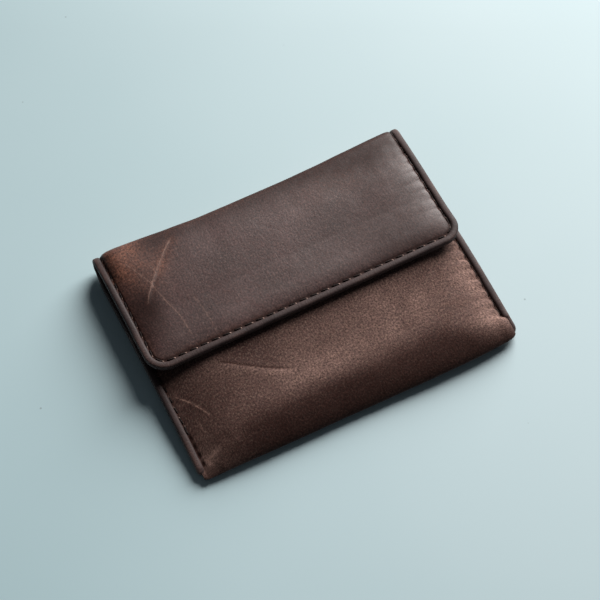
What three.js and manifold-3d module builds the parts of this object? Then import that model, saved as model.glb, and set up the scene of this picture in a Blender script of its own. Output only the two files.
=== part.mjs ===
// Minimalist flap wallet, closed: a soft leather pouch whose rear edge rises as a narrow
// spine and folds forward as a flap. Millimetres, +Z up, +Y towards the rear crease.
// The origin is at the middle of the underside, on the table.
import * as THREE from 'three';
import { mergeVertices } from 'three/addons/utils/BufferGeometryUtils.js';
import Module from 'manifold-3d';

const wasm = await Module();
wasm.setup();

// Overall size
const WIDTH = 105;
const DEPTH = 78;
const HALF_WIDTH = WIDTH / 2;
const HALF_DEPTH = DEPTH / 2;

// Layer thicknesses
const LEATHER = 0.9;
const SKIVED_LEATHER = 0.5;
const LINING = 0.25;
const STIFFENER = 0.5;
const SLOT_PANEL = 0.4;
const LAYER_GAP = 0.1;

// Bound edges: a folded leather strip over the skived edges, with stitches in the ditch beside it
const BINDING_WALL = 0.7;
const BINDING_REACH = 2.4;
const BINDING_PLAY = 0.1;
const BINDING_ROUND = 0.8;
const POCKET_PLAY = 0.3;
const SHEET_INSET = 1.2;
const THREAD_INSET = 2.85;
const FLANGE = 3.3;
const THREAD_RADIUS = 0.3;
const SEAM_STACK = 2 * SKIVED_LEATHER + LAYER_GAP;
const EDGE_STACK = SKIVED_LEATHER + LAYER_GAP + LINING;
const SEAM_BEAD = SEAM_STACK / 2 + BINDING_PLAY + BINDING_WALL;
const EDGE_BEAD = EDGE_STACK / 2 + BINDING_PLAY + BINDING_WALL;

// Pouch
const PUFF_POWER = 8;
const PUFF_SHARPNESS = 0.6;
const FRONT_TOP = 8.05;
const FRONT_RISE = { start: -30, length: 31 };
const FOLD_TOP = 6.6;
const FOLD_SHARE = 0.45;
const FOLD_PLAY = 0.3;
const FRONT_PULL = 1.5;
const MOUTH_Y = 24.2;
const MOUTH_TOP = 6.9;
const MOUTH_DIP = { start: 14, length: 7 };
const MOUTH_SKIVE = { start: 17, length: 3.5 };
const SEAM_LOW = 1.33;
const SEAM_ARCH = 2.6;
const SEAM_ARCH_Y = -6;
const SEAM_ARCH_HALF = 45;
const SEAM_END_SHARE = 0.995;
const SEAM_THREAD_Y = -36;
const SEAM_THREAD_GAP = 1;

// Spine between the two creases
const REAR_PULL = 2.2;
const CREASE_RADIUS = 3;
const REAR_Y = HALF_DEPTH - SEAM_BEAD + SEAM_STACK / 2;
const CREASE_SPLIT = 45;
const SPLIT_HALF_GAP = 3;

// Flap
const FLAP_FRONT_Y = -6.5;
const FLAP_HALF = 52;
const FLAP_CORNER = 6.5;
const FLAP_CROWN = 10.65;
const FLAP_DOME = 0.5;
const DOME_RISE = { start: 11, length: 25 };
const FLAP_FRONT_BEAD = 9.25;
const FLAP_SIDE_BEAD = 8.6;
const FLAP_REAR_BEAD = 7.0;
const BEAD_FRONT_RISE = 10;
const BEAD_REAR_DIP = { start: 20, length: 16 };
const FLAP_DROOP = 5;
const FLAP_DROOP_POWER = 2.5;

// Closure
const MAGNET_RADIUS = 5;
const MAGNET_PLAY = 0.4;
const MAGNET_SIDES = 32;
const HOLE_DEPTH = 6;
const MAGNET_Y = 5;
const FRONT_BOARD = { half: 34, front: -5, rear: 11.5, frontFade: 6, rearFade: 5 };
const FLAP_BOARD = { half: 34, front: -1.5, rear: 27, frontFade: 1.6, rearFade: 5 };
const BOARD_SIDE_FADE = 7;
const BOARD_MARGIN = 1;

// Card slot inside the pouch
const SLOT_FRONT_Y = -31.5;
const SLOT_REAR_Y = 12;
const SLOT_STITCH_INSET = 1.5;
const SLOT_STITCH_RADIUS = 0.2;

// Mesh
const SECTION_SEGMENTS = 3;
const MERGE_DISTANCE = 1e-5;
const CENTRE_HALF = 1e-6;

const clamp01 = (value) => Math.min(1, Math.max(0, value));
const mix = (from, to, share) => from + (to - from) * share;
const radians = (degrees) => degrees * Math.PI / 180;

function ease(share) {
  const k = clamp01(share);
  return k * k * (3 - 2 * k);
}

// 0 before a stretch { start, length } of the depth, rising to 1 at its end
function along(y, stretch) {
  return ease((y - stretch.start) / stretch.length);
}

// count + 1 evenly spaced values
function steps(from, to, count) {
  return Array.from({ length: count + 1 }, (_, i) => mix(from, to, i / count));
}

// ---- Surfaces of the closed wallet -------------------------------------------------

// 1 in the middle of the width, 0 from the given stitch line outwards
function fullness(x, line) {
  const reach = clamp01(Math.abs(x) / line);
  return Math.pow(1 - Math.pow(reach, PUFF_POWER), PUFF_SHARPNESS);
}

const SEAM_EDGE = HALF_WIDTH - SHEET_INSET;
const SEAM_LINE = HALF_WIDTH - FLANGE;
const FLAP_EDGE = FLAP_HALF - SHEET_INSET;
const FLAP_LINE = FLAP_HALF - FLANGE;

// Height of the middle of a side seam: it rests on the table at its ends and arches between
function seamHeight(y) {
  const phase = clamp01(Math.abs(y - SEAM_ARCH_Y) / SEAM_ARCH_HALF);
  return SEAM_LOW + SEAM_ARCH * Math.pow(Math.cos(phase * Math.PI / 2), 2);
}

// Height of the front panel's outer surface along its middle
function frontCrest(y) {
  const rise = mix(FOLD_TOP, FRONT_TOP, along(y, FRONT_RISE));
  return rise - (FRONT_TOP - MOUTH_TOP) * along(y, MOUTH_DIP);
}

function pouchFullness(x) {
  return fullness(x, SEAM_LINE);
}

function backZ(x, y) {
  return (seamHeight(y) - SEAM_STACK / 2) * (1 - pouchFullness(x));
}

function frontZ(x, y) {
  return mix(seamHeight(y) + SEAM_STACK / 2, frontCrest(y), pouchFullness(x));
}

function flapEdgeZ(y) {
  const fromFront = ease((y - FLAP_FRONT_Y - FLANGE) / BEAD_FRONT_RISE);
  const front = mix(FLAP_FRONT_BEAD, FLAP_SIDE_BEAD, fromFront);
  return mix(front, FLAP_REAR_BEAD, along(y, BEAD_REAR_DIP)) + EDGE_STACK / 2;
}

// 0 along the flap's front stitch line, 1 where the flap has risen to its full height
function frontRise(y) {
  const share = clamp01((y - FLAP_FRONT_Y - FLANGE) / FLAP_DROOP);
  return 1 - Math.pow(1 - share, FLAP_DROOP_POWER);
}

function flapFullness(x, y) {
  return fullness(x, FLAP_LINE) * frontRise(y);
}

function flapZ(x, y) {
  const share = clamp01((y - DOME_RISE.start) / DOME_RISE.length);
  const crown = FLAP_CROWN + FLAP_DOME * Math.sin(Math.PI * share);
  return mix(flapEdgeZ(y), crown, flapFullness(x, y));
}

// ---- Stations: lines across the wallet, in order flap, spine, back, fold, front -----
// at(x, depth) gives [y, z] of the point that lies depth under the outer surface.

function rearEdgeY(x) {
  return REAR_Y - REAR_PULL * (1 - Math.pow(clamp01(Math.abs(x) / FLAP_LINE), 2));
}

// A line on a rounded crease, at an angle about its centre; centreZ(x, y) is the centre's height
function creaseStation(degrees, centreZ) {
  const angle = radians(degrees);
  return {
    at(x, depth) {
      const centreY = rearEdgeY(x) - CREASE_RADIUS;
      const reach = CREASE_RADIUS - depth;
      return [centreY + reach * Math.cos(angle), centreZ(x, centreY) + reach * Math.sin(angle)];
    },
    board: () => 0,
  };
}

function topCrease(degrees) {
  return creaseStation(degrees, (x, y) => flapZ(x, y) - CREASE_RADIUS);
}

function bottomCrease(degrees) {
  return creaseStation(degrees, (x, y) => backZ(x, y) + CREASE_RADIUS);
}

// 1 over a stiffening board, fading to 0 just outside it
function boardCover(x, y, board) {
  const side = 1 - ease((Math.abs(x) - board.half - BOARD_MARGIN) / BOARD_SIDE_FADE);
  const front = ease((y - board.front + LAYER_GAP) / board.frontFade + 1);
  const rear = 1 - ease((y - board.rear - BOARD_MARGIN) / board.rearFade);
  return side * front * rear;
}

// Where the rounded outline of the flap's sheet lies on the line across it at y
function flapSheetHalf(y) {
  const radius = FLAP_CORNER - SHEET_INSET;
  const fromFront = y - (FLAP_FRONT_Y + SHEET_INSET);
  const short = Math.max(0, radius - fromFront);
  return FLAP_EDGE - radius + Math.sqrt(Math.max(0, radius * radius - short * short));
}

// share 0 is the front edge of the flap, 1 is where the top crease begins
function flapStation(share) {
  const lineY = (x) => mix(FLAP_FRONT_Y + SHEET_INSET, rearEdgeY(x) - CREASE_RADIUS, share);
  return {
    at(x, depth) {
      return [lineY(x), flapZ(x, lineY(x)) - depth];
    },
    half: flapSheetHalf(lineY(FLAP_LINE)),
    board: (x) => boardCover(x, lineY(x), FLAP_BOARD),
    skive: (x) => 1 - frontRise(lineY(x)),
  };
}

function foldThickness(x) {
  return frontZ(x, -HALF_DEPTH) - backZ(x, -HALF_DEPTH);
}

// How far the bottom fold's half ellipse runs back from its tip
function foldReach(x) {
  return FOLD_SHARE * foldThickness(x) + FOLD_PLAY;
}

function foldStartY(x) {
  return -HALF_DEPTH + FRONT_PULL * pouchFullness(x) + foldReach(x);
}

function backStation(share) {
  const lineY = (x) => mix(rearEdgeY(x) - CREASE_RADIUS, foldStartY(x), share);
  return {
    at: (x, depth) => [lineY(x), backZ(x, lineY(x)) + depth],
    board: () => 0,
  };
}

// The half ellipse of the bottom fold, from -90 degrees underneath to 90 degrees on top
function foldStation(degrees) {
  const angle = radians(degrees);
  return {
    at(x, depth) {
      const startY = foldStartY(x);
      const low = backZ(x, startY);
      const high = frontZ(x, startY);
      const rise = (high - low) / 2 - depth;
      const reach = foldReach(x) - depth;
      return [startY - reach * Math.cos(angle), (low + high) / 2 + rise * Math.sin(angle)];
    },
    board: () => 0,
  };
}

function frontStation(share) {
  const lineY = (x) => mix(foldStartY(x), MOUTH_Y - SHEET_INSET, share);
  return {
    at: (x, depth) => [lineY(x), frontZ(x, lineY(x)) - depth],
    board: (x) => boardCover(x, lineY(x), FRONT_BOARD),
    skive: (x) => along(lineY(x), MOUTH_SKIVE),
  };
}

const SPLIT_OUT = CREASE_SPLIT + SPLIT_HALF_GAP;
const SPLIT_IN = CREASE_SPLIT - SPLIT_HALF_GAP;

// Lines across the flap and the front panel, closer together where the layers bend
const FLAP_SHARES = [0, 0.02, 0.055, 0.096, 0.14, 0.19, 0.29, 0.42, 0.55, 0.7, 0.8, 0.9];
const FRONT_SHARES = [...steps(0.07, 0.77, 10), 0.82, 0.86, 0.9, 0.93, 0.96, 1];

const FLAP_STATIONS = [
  ...FLAP_SHARES.map(flapStation),
  ...steps(90, SPLIT_OUT, 3).map(topCrease),
];
const SPINE_STATIONS = [
  ...steps(SPLIT_IN, 0, 3).map(topCrease),
  ...steps(0, -SPLIT_IN, 3).map(bottomCrease),
];
const POUCH_REAR_STATIONS = steps(-SPLIT_OUT, -90, 3).map(bottomCrease);
const POUCH_BACK_STATIONS = steps(0, 1, 10).slice(1, -1).map(backStation);
const POUCH_STATIONS = [
  ...POUCH_REAR_STATIONS,
  ...POUCH_BACK_STATIONS,
  ...steps(-90, 90, 6).map(foldStation),
  ...FRONT_SHARES.map(frontStation),
];

// ---- Solids -----------------------------------------------------------------------

// Shared vertices merged and faces turned outwards
function closedGeometry(geometry) {
  geometry.deleteAttribute('normal');
  geometry.deleteAttribute('uv');
  const closed = mergeVertices(geometry, MERGE_DISTANCE);
  const position = closed.attributes.position;
  const index = closed.index;
  const corner = [0, 1, 2].map(() => new THREE.Vector3());
  let volume = 0;
  for (let i = 0; i < index.count; i += 3) {
    corner.forEach((point, k) => point.fromBufferAttribute(position, index.getX(i + k)));
    volume += corner[0].dot(corner[1].cross(corner[2]));
  }
  if (volume < 0) {
    for (let i = 0; i < index.count; i += 3) {
      const second = index.getX(i + 1);
      index.setX(i + 1, index.getX(i + 2));
      index.setX(i + 2, second);
    }
  }
  closed.computeVertexNormals();
  return closed;
}

// A flat slab bent so that its grid lines lie on the given rows and columns.
// place(column, row, outer) gives the point [x, y, z].
function bentSlab(columns, rows, place) {
  const box = new THREE.BoxGeometry(1, 1, 1, columns.length - 1, rows.length - 1, 1);
  const position = box.attributes.position;
  for (let i = 0; i < position.count; i += 1) {
    const column = columns[Math.round((position.getX(i) + 0.5) * (columns.length - 1))];
    const row = rows[Math.round((position.getY(i) + 0.5) * (rows.length - 1))];
    position.setXYZ(i, ...place(column, row, position.getZ(i) > 0));
  }
  return closedGeometry(box);
}

// A cross-section carried through a list of frames; frame(a, b) gives the point [x, y, z]
function sweptSection(shape, frames) {
  const sweep = new THREE.ExtrudeGeometry(shape, {
    depth: 1,
    steps: frames.length - 1,
    bevelEnabled: false,
    curveSegments: SECTION_SEGMENTS,
  });
  const position = sweep.attributes.position;
  for (let i = 0; i < position.count; i += 1) {
    const frame = frames[Math.round(position.getZ(i) * (frames.length - 1))];
    position.setXYZ(i, ...frame(position.getX(i), position.getY(i)));
  }
  return closedGeometry(sweep);
}

function toManifold(geometry) {
  const vertProperties = new Float32Array(geometry.attributes.position.array);
  const triVerts = new Uint32Array(geometry.index.array);
  return new wasm.Manifold(new wasm.Mesh({ numProp: 3, vertProperties, triVerts }));
}

function cutAway(geometry, tool) {
  const cut = toManifold(geometry).subtract(toManifold(tool)).getMesh();
  const result = new THREE.BufferGeometry();
  result.setAttribute('position', new THREE.BufferAttribute(cut.vertProperties, 3));
  result.setIndex(new THREE.BufferAttribute(cut.triVerts, 1));
  result.computeVertexNormals();
  return result;
}

// Lines along the wallet: fine near the stitch lines, where the leather turns down
function columnsTo(line, edge) {
  const inner = steps(-1, 1, 16).map((share) => line * Math.sin(share * Math.PI / 2));
  return [-edge, ...inner, edge];
}

function leatherDepth(x, line, station) {
  const skive = station.skive ? station.skive(x) : 0;
  return mix(SKIVED_LEATHER, LEATHER, fullness(x, line) * (1 - skive));
}

function liningDepth(x, line, station) {
  return leatherDepth(x, line, station) + LAYER_GAP + (STIFFENER + LAYER_GAP) * station.board(x);
}

// On the flap's rounded front corners the columns close in with the outline
function columnX(x, edge, station) {
  return station.half === undefined ? x : x * station.half / edge;
}

function leatherSheet(stations, line, edge) {
  return bentSlab(columnsTo(line, edge), stations, (column, station, outer) => {
    const x = columnX(column, edge, station);
    return [x, ...station.at(x, outer ? 0 : leatherDepth(x, line, station))];
  });
}

// A lining keeps the leather's columns; one that stops short leaves out the outermost two
function liningSheet(stations, line, edge, stopsShort) {
  const all = columnsTo(line, edge);
  const columns = stopsShort ? all.slice(2, -2) : all;
  return bentSlab(columns, stations, (column, station, outer) => {
    const x = columnX(column, edge, station);
    return [x, ...station.at(x, liningDepth(x, line, station) + (outer ? 0 : LINING))];
  });
}

// The folded strip's section: a is measured outwards from the finished edge, b is the
// depth under the leather's outer surface
function bindingSection(stack) {
  const half = stack / 2 + BINDING_PLAY + BINDING_WALL;
  const pocket = stack / 2 + BINDING_PLAY;
  const middle = stack / 2;
  const round = half * BINDING_ROUND;
  const pocketEnd = -SHEET_INSET + POCKET_PLAY;
  const shape = new THREE.Shape();
  shape.moveTo(-BINDING_REACH, middle - half);
  shape.lineTo(-round, middle - half);
  shape.absellipse(-round, middle, round, half, -Math.PI / 2, Math.PI / 2, false, 0);
  shape.lineTo(-BINDING_REACH, middle + half);
  shape.lineTo(-BINDING_REACH, middle + pocket);
  shape.lineTo(pocketEnd, middle + pocket);
  shape.lineTo(pocketEnd, middle - pocket);
  shape.lineTo(-BINDING_REACH, middle - pocket);
  shape.closePath();
  return shape;
}

// The row of stitches, drawn as one cord that lies on the leather in the ditch
function threadSection() {
  const shape = new THREE.Shape();
  shape.absarc(-THREAD_INSET, -LAYER_GAP - THREAD_RADIUS, THREAD_RADIUS, 0, 2 * Math.PI, false);
  return shape;
}

function sideFrames(stations, side, edge) {
  return stations.map((station) => (a, b) => {
    return [side * (edge + a), ...station.at(side * SEAM_LINE, b)];
  });
}

// The finished edge of the flap in plan, from the left crease round the front to the right
function flapEdgeFrames() {
  const sideStart = rearEdgeY(FLAP_LINE) - CREASE_RADIUS;
  const cornerY = FLAP_FRONT_Y + FLAP_CORNER;
  const cornerX = FLAP_HALF - FLAP_CORNER;
  const spots = [];
  steps(sideStart, cornerY, 8).forEach((y) => spots.push([-FLAP_HALF, y, 180]));
  steps(180, 270, 6).slice(1).forEach((angle) => {
    const x = -cornerX + FLAP_CORNER * Math.cos(radians(angle));
    spots.push([x, cornerY + FLAP_CORNER * Math.sin(radians(angle)), angle]);
  });
  steps(-cornerX, cornerX, 4).slice(1, -1).forEach((x) => spots.push([x, FLAP_FRONT_Y, 270]));
  const left = spots.filter(([x]) => x < -CENTRE_HALF);
  const right = left.map(([x, y, angle]) => [-x, y, 540 - angle]).reverse();
  const centre = spots.filter(([x]) => Math.abs(x) <= CENTRE_HALF);
  const all = [...left, ...centre, ...right];
  return all.map(([x, y, angle]) => (a, b) => {
    const outX = Math.cos(radians(angle));
    const outY = Math.sin(radians(angle));
    return [x + a * outX, y + a * outY, flapEdgeZ(y + a * outY) - b];
  });
}

function creaseFrames(side) {
  return steps(SPLIT_OUT, 90, 3).slice(0, -1).map(topCrease).map((station) => (a, b) => {
    return [side * (FLAP_HALF + a), ...station.at(side * SEAM_LINE, b)];
  });
}

function flapFrames() {
  return [...creaseFrames(-1), ...flapEdgeFrames(), ...creaseFrames(1).reverse()];
}

// ---- Materials --------------------------------------------------------------------

const FLAP_LEATHER = { color: '#5f5350', roughness: 0.5 };
const FRONT_LEATHER = { color: '#66504a', roughness: 0.6 };
const BINDING_LEATHER = { color: '#3b2c29', roughness: 0.5 };
const THREAD_CORD = { color: '#4b3835', roughness: 0.8 };
const LINING_CLOTH = { color: '#43362f', roughness: 0.85 };
const GREY_BOARD = { color: '#8a8175', roughness: 0.9 };
const STEEL = { color: '#b9bbbd', roughness: 0.3, metalness: 1 };

function piece(name, geometry, look) {
  const mesh = new THREE.Mesh(geometry, new THREE.MeshStandardMaterial(look));
  mesh.name = name;
  return mesh;
}

// ---- Pouch ------------------------------------------------------------------------

function pouchLeather() {
  const sheet = leatherSheet(POUCH_STATIONS, SEAM_LINE, SEAM_EDGE);
  return piece('pouch_leather', sheet, FRONT_LEATHER);
}

function pouchLining() {
  const sheet = liningSheet(POUCH_STATIONS, SEAM_LINE, SEAM_EDGE, true);
  return piece('pouch_lining', sheet, LINING_CLOTH);
}

function pouchSeamStations() {
  return [...POUCH_REAR_STATIONS, ...POUCH_BACK_STATIONS, backStation(SEAM_END_SHARE)];
}

function pouchBinding(name, side) {
  const frames = sideFrames(pouchSeamStations(), side, HALF_WIDTH);
  return piece(name, sweptSection(bindingSection(SEAM_STACK), frames), BINDING_LEATHER);
}

// The seam's stitches lie on the front panel, from the bottom fold to the mouth
function pouchThread(name, side) {
  const rearY = MOUTH_Y - BINDING_REACH - SEAM_THREAD_GAP;
  const frames = steps(SEAM_THREAD_Y, rearY, 12).map((y) => (a, b) => {
    return [side * (HALF_WIDTH + a), y, seamHeight(y) + SEAM_STACK / 2 - b];
  });
  return piece(name, sweptSection(threadSection(), frames), THREAD_CORD);
}

// The mouth's bound edge stops where the front panel dives to the side seams
function mouthFrames() {
  const columns = columnsTo(SEAM_LINE, SEAM_EDGE).slice(3, -3);
  return columns.map((x) => (a, b) => [x, MOUTH_Y + a, frontZ(x, MOUTH_Y) - b]);
}

function mouthBinding() {
  const strip = sweptSection(bindingSection(EDGE_STACK), mouthFrames());
  return piece('mouth_binding', strip, BINDING_LEATHER);
}

function mouthThread() {
  const cord = sweptSection(threadSection(), mouthFrames());
  return piece('mouth_thread', cord, THREAD_CORD);
}

// The upper face of the back lining, which the empty card slot lies flat against
function backLiningZ(x, y) {
  const leather = mix(SKIVED_LEATHER, LEATHER, pouchFullness(x));
  return backZ(x, y) + leather + LAYER_GAP + LINING;
}

function cardSlotPanel() {
  const columns = columnsTo(SEAM_LINE, SEAM_EDGE).slice(3, -3);
  const rows = steps(SLOT_FRONT_Y, SLOT_REAR_Y, 8);
  const sheet = bentSlab(columns, rows, (x, y, outer) => {
    return [x, y, backLiningZ(x, y) + LAYER_GAP + (outer ? SLOT_PANEL : 0)];
  });
  return piece('card_slot_panel', sheet, FRONT_LEATHER);
}

// The stitches that hold the slot panel to the back lining, along its front edge
function slotStitchFrames() {
  const columns = columnsTo(SEAM_LINE, SEAM_EDGE).slice(4, -4);
  const y = SLOT_FRONT_Y + SLOT_STITCH_INSET;
  return columns.map((x) => (a, b) => {
    return [x, y + a, backLiningZ(x, y) + LAYER_GAP + SLOT_PANEL + b];
  });
}

function cardSlotThread() {
  const middle = LAYER_GAP / 2 + SLOT_STITCH_RADIUS;
  const section = new THREE.Shape();
  section.absarc(0, middle, SLOT_STITCH_RADIUS, 0, 2 * Math.PI, false);
  return piece('card_slot_thread', sweptSection(section, slotStitchFrames()), THREAD_CORD);
}

// A short upright cylinder at the closure, centred on the height z
function closureDisc(radius, height, z) {
  const disc = new THREE.CylinderGeometry(radius, radius, height, MAGNET_SIDES);
  disc.rotateX(Math.PI / 2);
  disc.translate(0, MAGNET_Y, z);
  return closedGeometry(disc);
}

function magnet(name, topZ) {
  return piece(name, closureDisc(MAGNET_RADIUS, STIFFENER, topZ - STIFFENER / 2), STEEL);
}

// A stiffening board under the leather surface surfaceZ(x, y), with a hole for its magnet
function board(name, area, surfaceZ, full) {
  const columns = steps(-area.half, area.half, 12);
  const rows = steps(area.front, area.rear, 6);
  const slab = bentSlab(columns, rows, (x, y, outer) => {
    const leather = mix(SKIVED_LEATHER, LEATHER, full(x, y));
    return [x, y, surfaceZ(x, y) - leather - LAYER_GAP - (outer ? 0 : STIFFENER)];
  });
  const hole = closureDisc(MAGNET_RADIUS + MAGNET_PLAY, HOLE_DEPTH, surfaceZ(0, MAGNET_Y));
  return piece(name, cutAway(slab, hole), GREY_BOARD);
}

function buildPouch() {
  const pouch = new THREE.Group();
  pouch.add(pouchLeather(), pouchLining());
  pouch.add(pouchBinding('left_pouch_binding', -1), pouchBinding('right_pouch_binding', 1));
  pouch.add(pouchThread('left_pouch_thread', -1), pouchThread('right_pouch_thread', 1));
  pouch.add(mouthBinding(), mouthThread());
  pouch.add(cardSlotPanel(), cardSlotThread());
  pouch.add(board('front_stiffener', FRONT_BOARD, frontZ, pouchFullness));
  pouch.add(magnet('pouch_magnet', FRONT_TOP - LEATHER - LAYER_GAP));
  return pouch;
}

// ---- Spine ------------------------------------------------------------------------

function spineBinding(name, side) {
  const frames = sideFrames(SPINE_STATIONS, side, FLAP_HALF);
  return piece(name, sweptSection(bindingSection(EDGE_STACK), frames), BINDING_LEATHER);
}

function spineThread(name, side) {
  const frames = sideFrames(SPINE_STATIONS, side, FLAP_HALF);
  return piece(name, sweptSection(threadSection(), frames), THREAD_CORD);
}

function buildSpine() {
  const spine = new THREE.Group();
  const leather = leatherSheet(SPINE_STATIONS, FLAP_LINE, FLAP_EDGE);
  const lining = liningSheet(SPINE_STATIONS, FLAP_LINE, FLAP_EDGE, true);
  spine.add(piece('spine_leather', leather, FLAP_LEATHER));
  spine.add(piece('spine_lining', lining, LINING_CLOTH));
  spine.add(spineBinding('left_spine_binding', -1), spineBinding('right_spine_binding', 1));
  spine.add(spineThread('left_spine_thread', -1), spineThread('right_spine_thread', 1));
  return spine;
}

// ---- Flap -------------------------------------------------------------------------

function buildFlap() {
  const flap = new THREE.Group();
  const leather = leatherSheet(FLAP_STATIONS, FLAP_LINE, FLAP_EDGE);
  const lining = liningSheet(FLAP_STATIONS, FLAP_LINE, FLAP_EDGE, false);
  const strip = sweptSection(bindingSection(EDGE_STACK), flapFrames());
  const cord = sweptSection(threadSection(), flapFrames());
  flap.add(piece('flap_leather', leather, FLAP_LEATHER));
  flap.add(piece('flap_lining', lining, LINING_CLOTH));
  flap.add(piece('flap_binding', strip, BINDING_LEATHER));
  flap.add(piece('flap_thread', cord, THREAD_CORD));
  flap.add(board('flap_stiffener', FLAP_BOARD, flapZ, flapFullness));
  flap.add(magnet('flap_magnet', FLAP_CROWN - LEATHER - LAYER_GAP));
  return flap;
}

const wallet = new THREE.Group();
wallet.add(buildPouch(), buildSpine(), buildFlap());

export default wallet;
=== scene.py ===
# Looks of the minimalist flap wallet: one soft hide with bound, stitched edges, lining, card slot and boards.
# Lengths in this script are millimetres, and mesh() turns them into the frame's metres.
import math

import bmesh
import bpy
import numpy as np
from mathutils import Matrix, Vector


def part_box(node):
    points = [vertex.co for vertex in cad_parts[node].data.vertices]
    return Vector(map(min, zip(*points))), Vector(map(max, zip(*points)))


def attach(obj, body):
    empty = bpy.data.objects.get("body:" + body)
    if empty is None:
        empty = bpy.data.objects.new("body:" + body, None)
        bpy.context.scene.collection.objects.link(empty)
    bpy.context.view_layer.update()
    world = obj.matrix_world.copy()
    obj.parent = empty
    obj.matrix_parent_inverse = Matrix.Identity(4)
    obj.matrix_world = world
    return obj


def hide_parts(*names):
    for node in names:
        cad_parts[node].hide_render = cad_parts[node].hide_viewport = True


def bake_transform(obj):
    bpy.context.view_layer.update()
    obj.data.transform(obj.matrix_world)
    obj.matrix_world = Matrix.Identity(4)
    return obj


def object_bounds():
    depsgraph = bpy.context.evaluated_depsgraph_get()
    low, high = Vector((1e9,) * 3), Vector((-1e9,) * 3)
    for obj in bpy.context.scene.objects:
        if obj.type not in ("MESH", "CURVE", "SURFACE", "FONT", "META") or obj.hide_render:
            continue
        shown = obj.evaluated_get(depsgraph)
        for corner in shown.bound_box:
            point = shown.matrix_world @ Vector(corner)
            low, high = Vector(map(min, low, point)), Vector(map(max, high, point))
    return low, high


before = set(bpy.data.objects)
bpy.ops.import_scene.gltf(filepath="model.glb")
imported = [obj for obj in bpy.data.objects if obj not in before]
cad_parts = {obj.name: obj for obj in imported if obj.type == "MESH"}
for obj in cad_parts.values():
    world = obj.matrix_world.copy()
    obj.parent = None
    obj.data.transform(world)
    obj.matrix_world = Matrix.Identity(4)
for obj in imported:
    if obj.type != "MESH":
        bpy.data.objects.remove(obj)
CAD_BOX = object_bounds()
MM = 0.001
X, Y, Z = range(3)


def span(node, axis):
    """Lowest and highest place of a CAD node along an axis, in millimetres."""
    low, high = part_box(node)
    return low[axis] / MM, high[axis] / MM


# Places taken from the frame
HALF_WIDTH = span("right_pouch_binding", X)[1]
HALF_DEPTH = CAD_BOX[1][Y] / MM
FLAP_HALF = span("flap_binding", X)[1]
FLAP_FRONT_Y = span("flap_binding", Y)[0]
FLAP_TOP = span("flap_leather", Z)[1]
MOUTH_Y = span("mouth_binding", Y)[1]
SLOT_FRONT_Y, SLOT_REAR_Y = span("card_slot_panel", Y)
MAGNET_Y = sum(span("flap_magnet", Y)) / 2
LOWER_MAGNET_TOP = span("pouch_magnet", Z)[1]
UPPER_MAGNET_TOP = span("flap_magnet", Z)[1]
FRONT_BOARD = span("front_stiffener", Y)
FLAP_BOARD = span("flap_stiffener", Y)
BOARD_HALF = span("flap_stiffener", X)[1]

# Layers
LEATHER = 0.9
SKIVED = 0.5
LINING = 0.25
BOARD = 0.5
GAP = 0.1
SLOT_PANEL = 0.4
SEAM_STACK = 2 * SKIVED + GAP
EDGE_STACK = SKIVED + GAP + LINING

# Bound edges
BEAD_WIDTH = 2.25
BEAD_WALL = 0.7
REAR_THINNING = 0.5
POCKET_PLAY = 0.04
SHEET_INSET = 1.1
STITCH_INSET = 2.55
DITCH = 2.75
STITCH_PITCH = 3.6
STITCH_LENGTH = 3.05
THREAD_RADIUS = 0.24
SEAM_END_Y = -33.0
SEAM_EDGE_WIDTH = 1.4

# Heights
FRONT_TOP = LOWER_MAGNET_TOP + GAP + LEATHER
FLAP_CROWN = UPPER_MAGNET_TOP + GAP + LEATHER
FLAP_DOME = FLAP_TOP - FLAP_CROWN
FOLD_TOP = 6.6
MOUTH_TOP = FRONT_TOP - 1.15
SEAM_LOW = 1.33
SEAM_ARCH = 2.6
SEAM_ARCH_Y = -6
SEAM_ARCH_REACH = 45
FLAP_FRONT_BEAD = 9.4
FLAP_SIDE_BEAD = 8.6
FLAP_REAR_BEAD = 8.0
FLAP_ROLL = 6
CREASE_RADIUS = 3.0
REAR_PULL = 2.2
FRONT_BULGE = 1.0
FRONT_REACH = 0.8
NOSE_LENGTH = 9.5
NOSE_SHARE = 0.36
NOSE_SLANT = 1.22
REAR_Y = HALF_DEPTH - BEAD_WALL
SEAM_LINE = HALF_WIDTH - DITCH
FLAP_LINE = FLAP_HALF - DITCH
SEAM_EDGE = HALF_WIDTH - SHEET_INSET
FLAP_EDGE = FLAP_HALF - SHEET_INSET
FLAP_CORNER = 6.5
LINING_EDGE = 47.8
MAGNET_HOLE = 5.4
NO_SCRATCH = 9.0

# About how long each zone is along the hide, which sets how many rows it gets
FLAP_LENGTH = 39
CREASE_LENGTH = 4.7
HALF_SPINE = 2.2
BACK_LENGTH = 68
FOLD_UNDER = 4.5
FOLD_OVER = 11
FRONT_LENGTH = 57
FRONT_SHOWN = 0.58

FINE = 0.34
COARSE = 1.2


# ---- Small maths ------------------------------------------------------------------

def ease(share):
    k = np.clip(share, 0, 1)
    return k * k * (3 - 2 * k)


def ramp(value, start, stop):
    """0 up to start and 1 from stop on, easing between. stop may be the lower one."""
    return ease((value - start) / (stop - start))


def mix(a, b, share):
    return a + (b - a) * share


def hump(distance, width):
    return np.exp(-((distance / width) ** 2))


def spots(x, y, places):
    """Sum of soft round or oval marks, each (strength, x, y, radius along x, radius along y)."""
    return sum(k * np.exp(-(((x - px) / rx) ** 2) - ((y - py) / ry) ** 2) for k, px, py, rx, ry in places)


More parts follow.
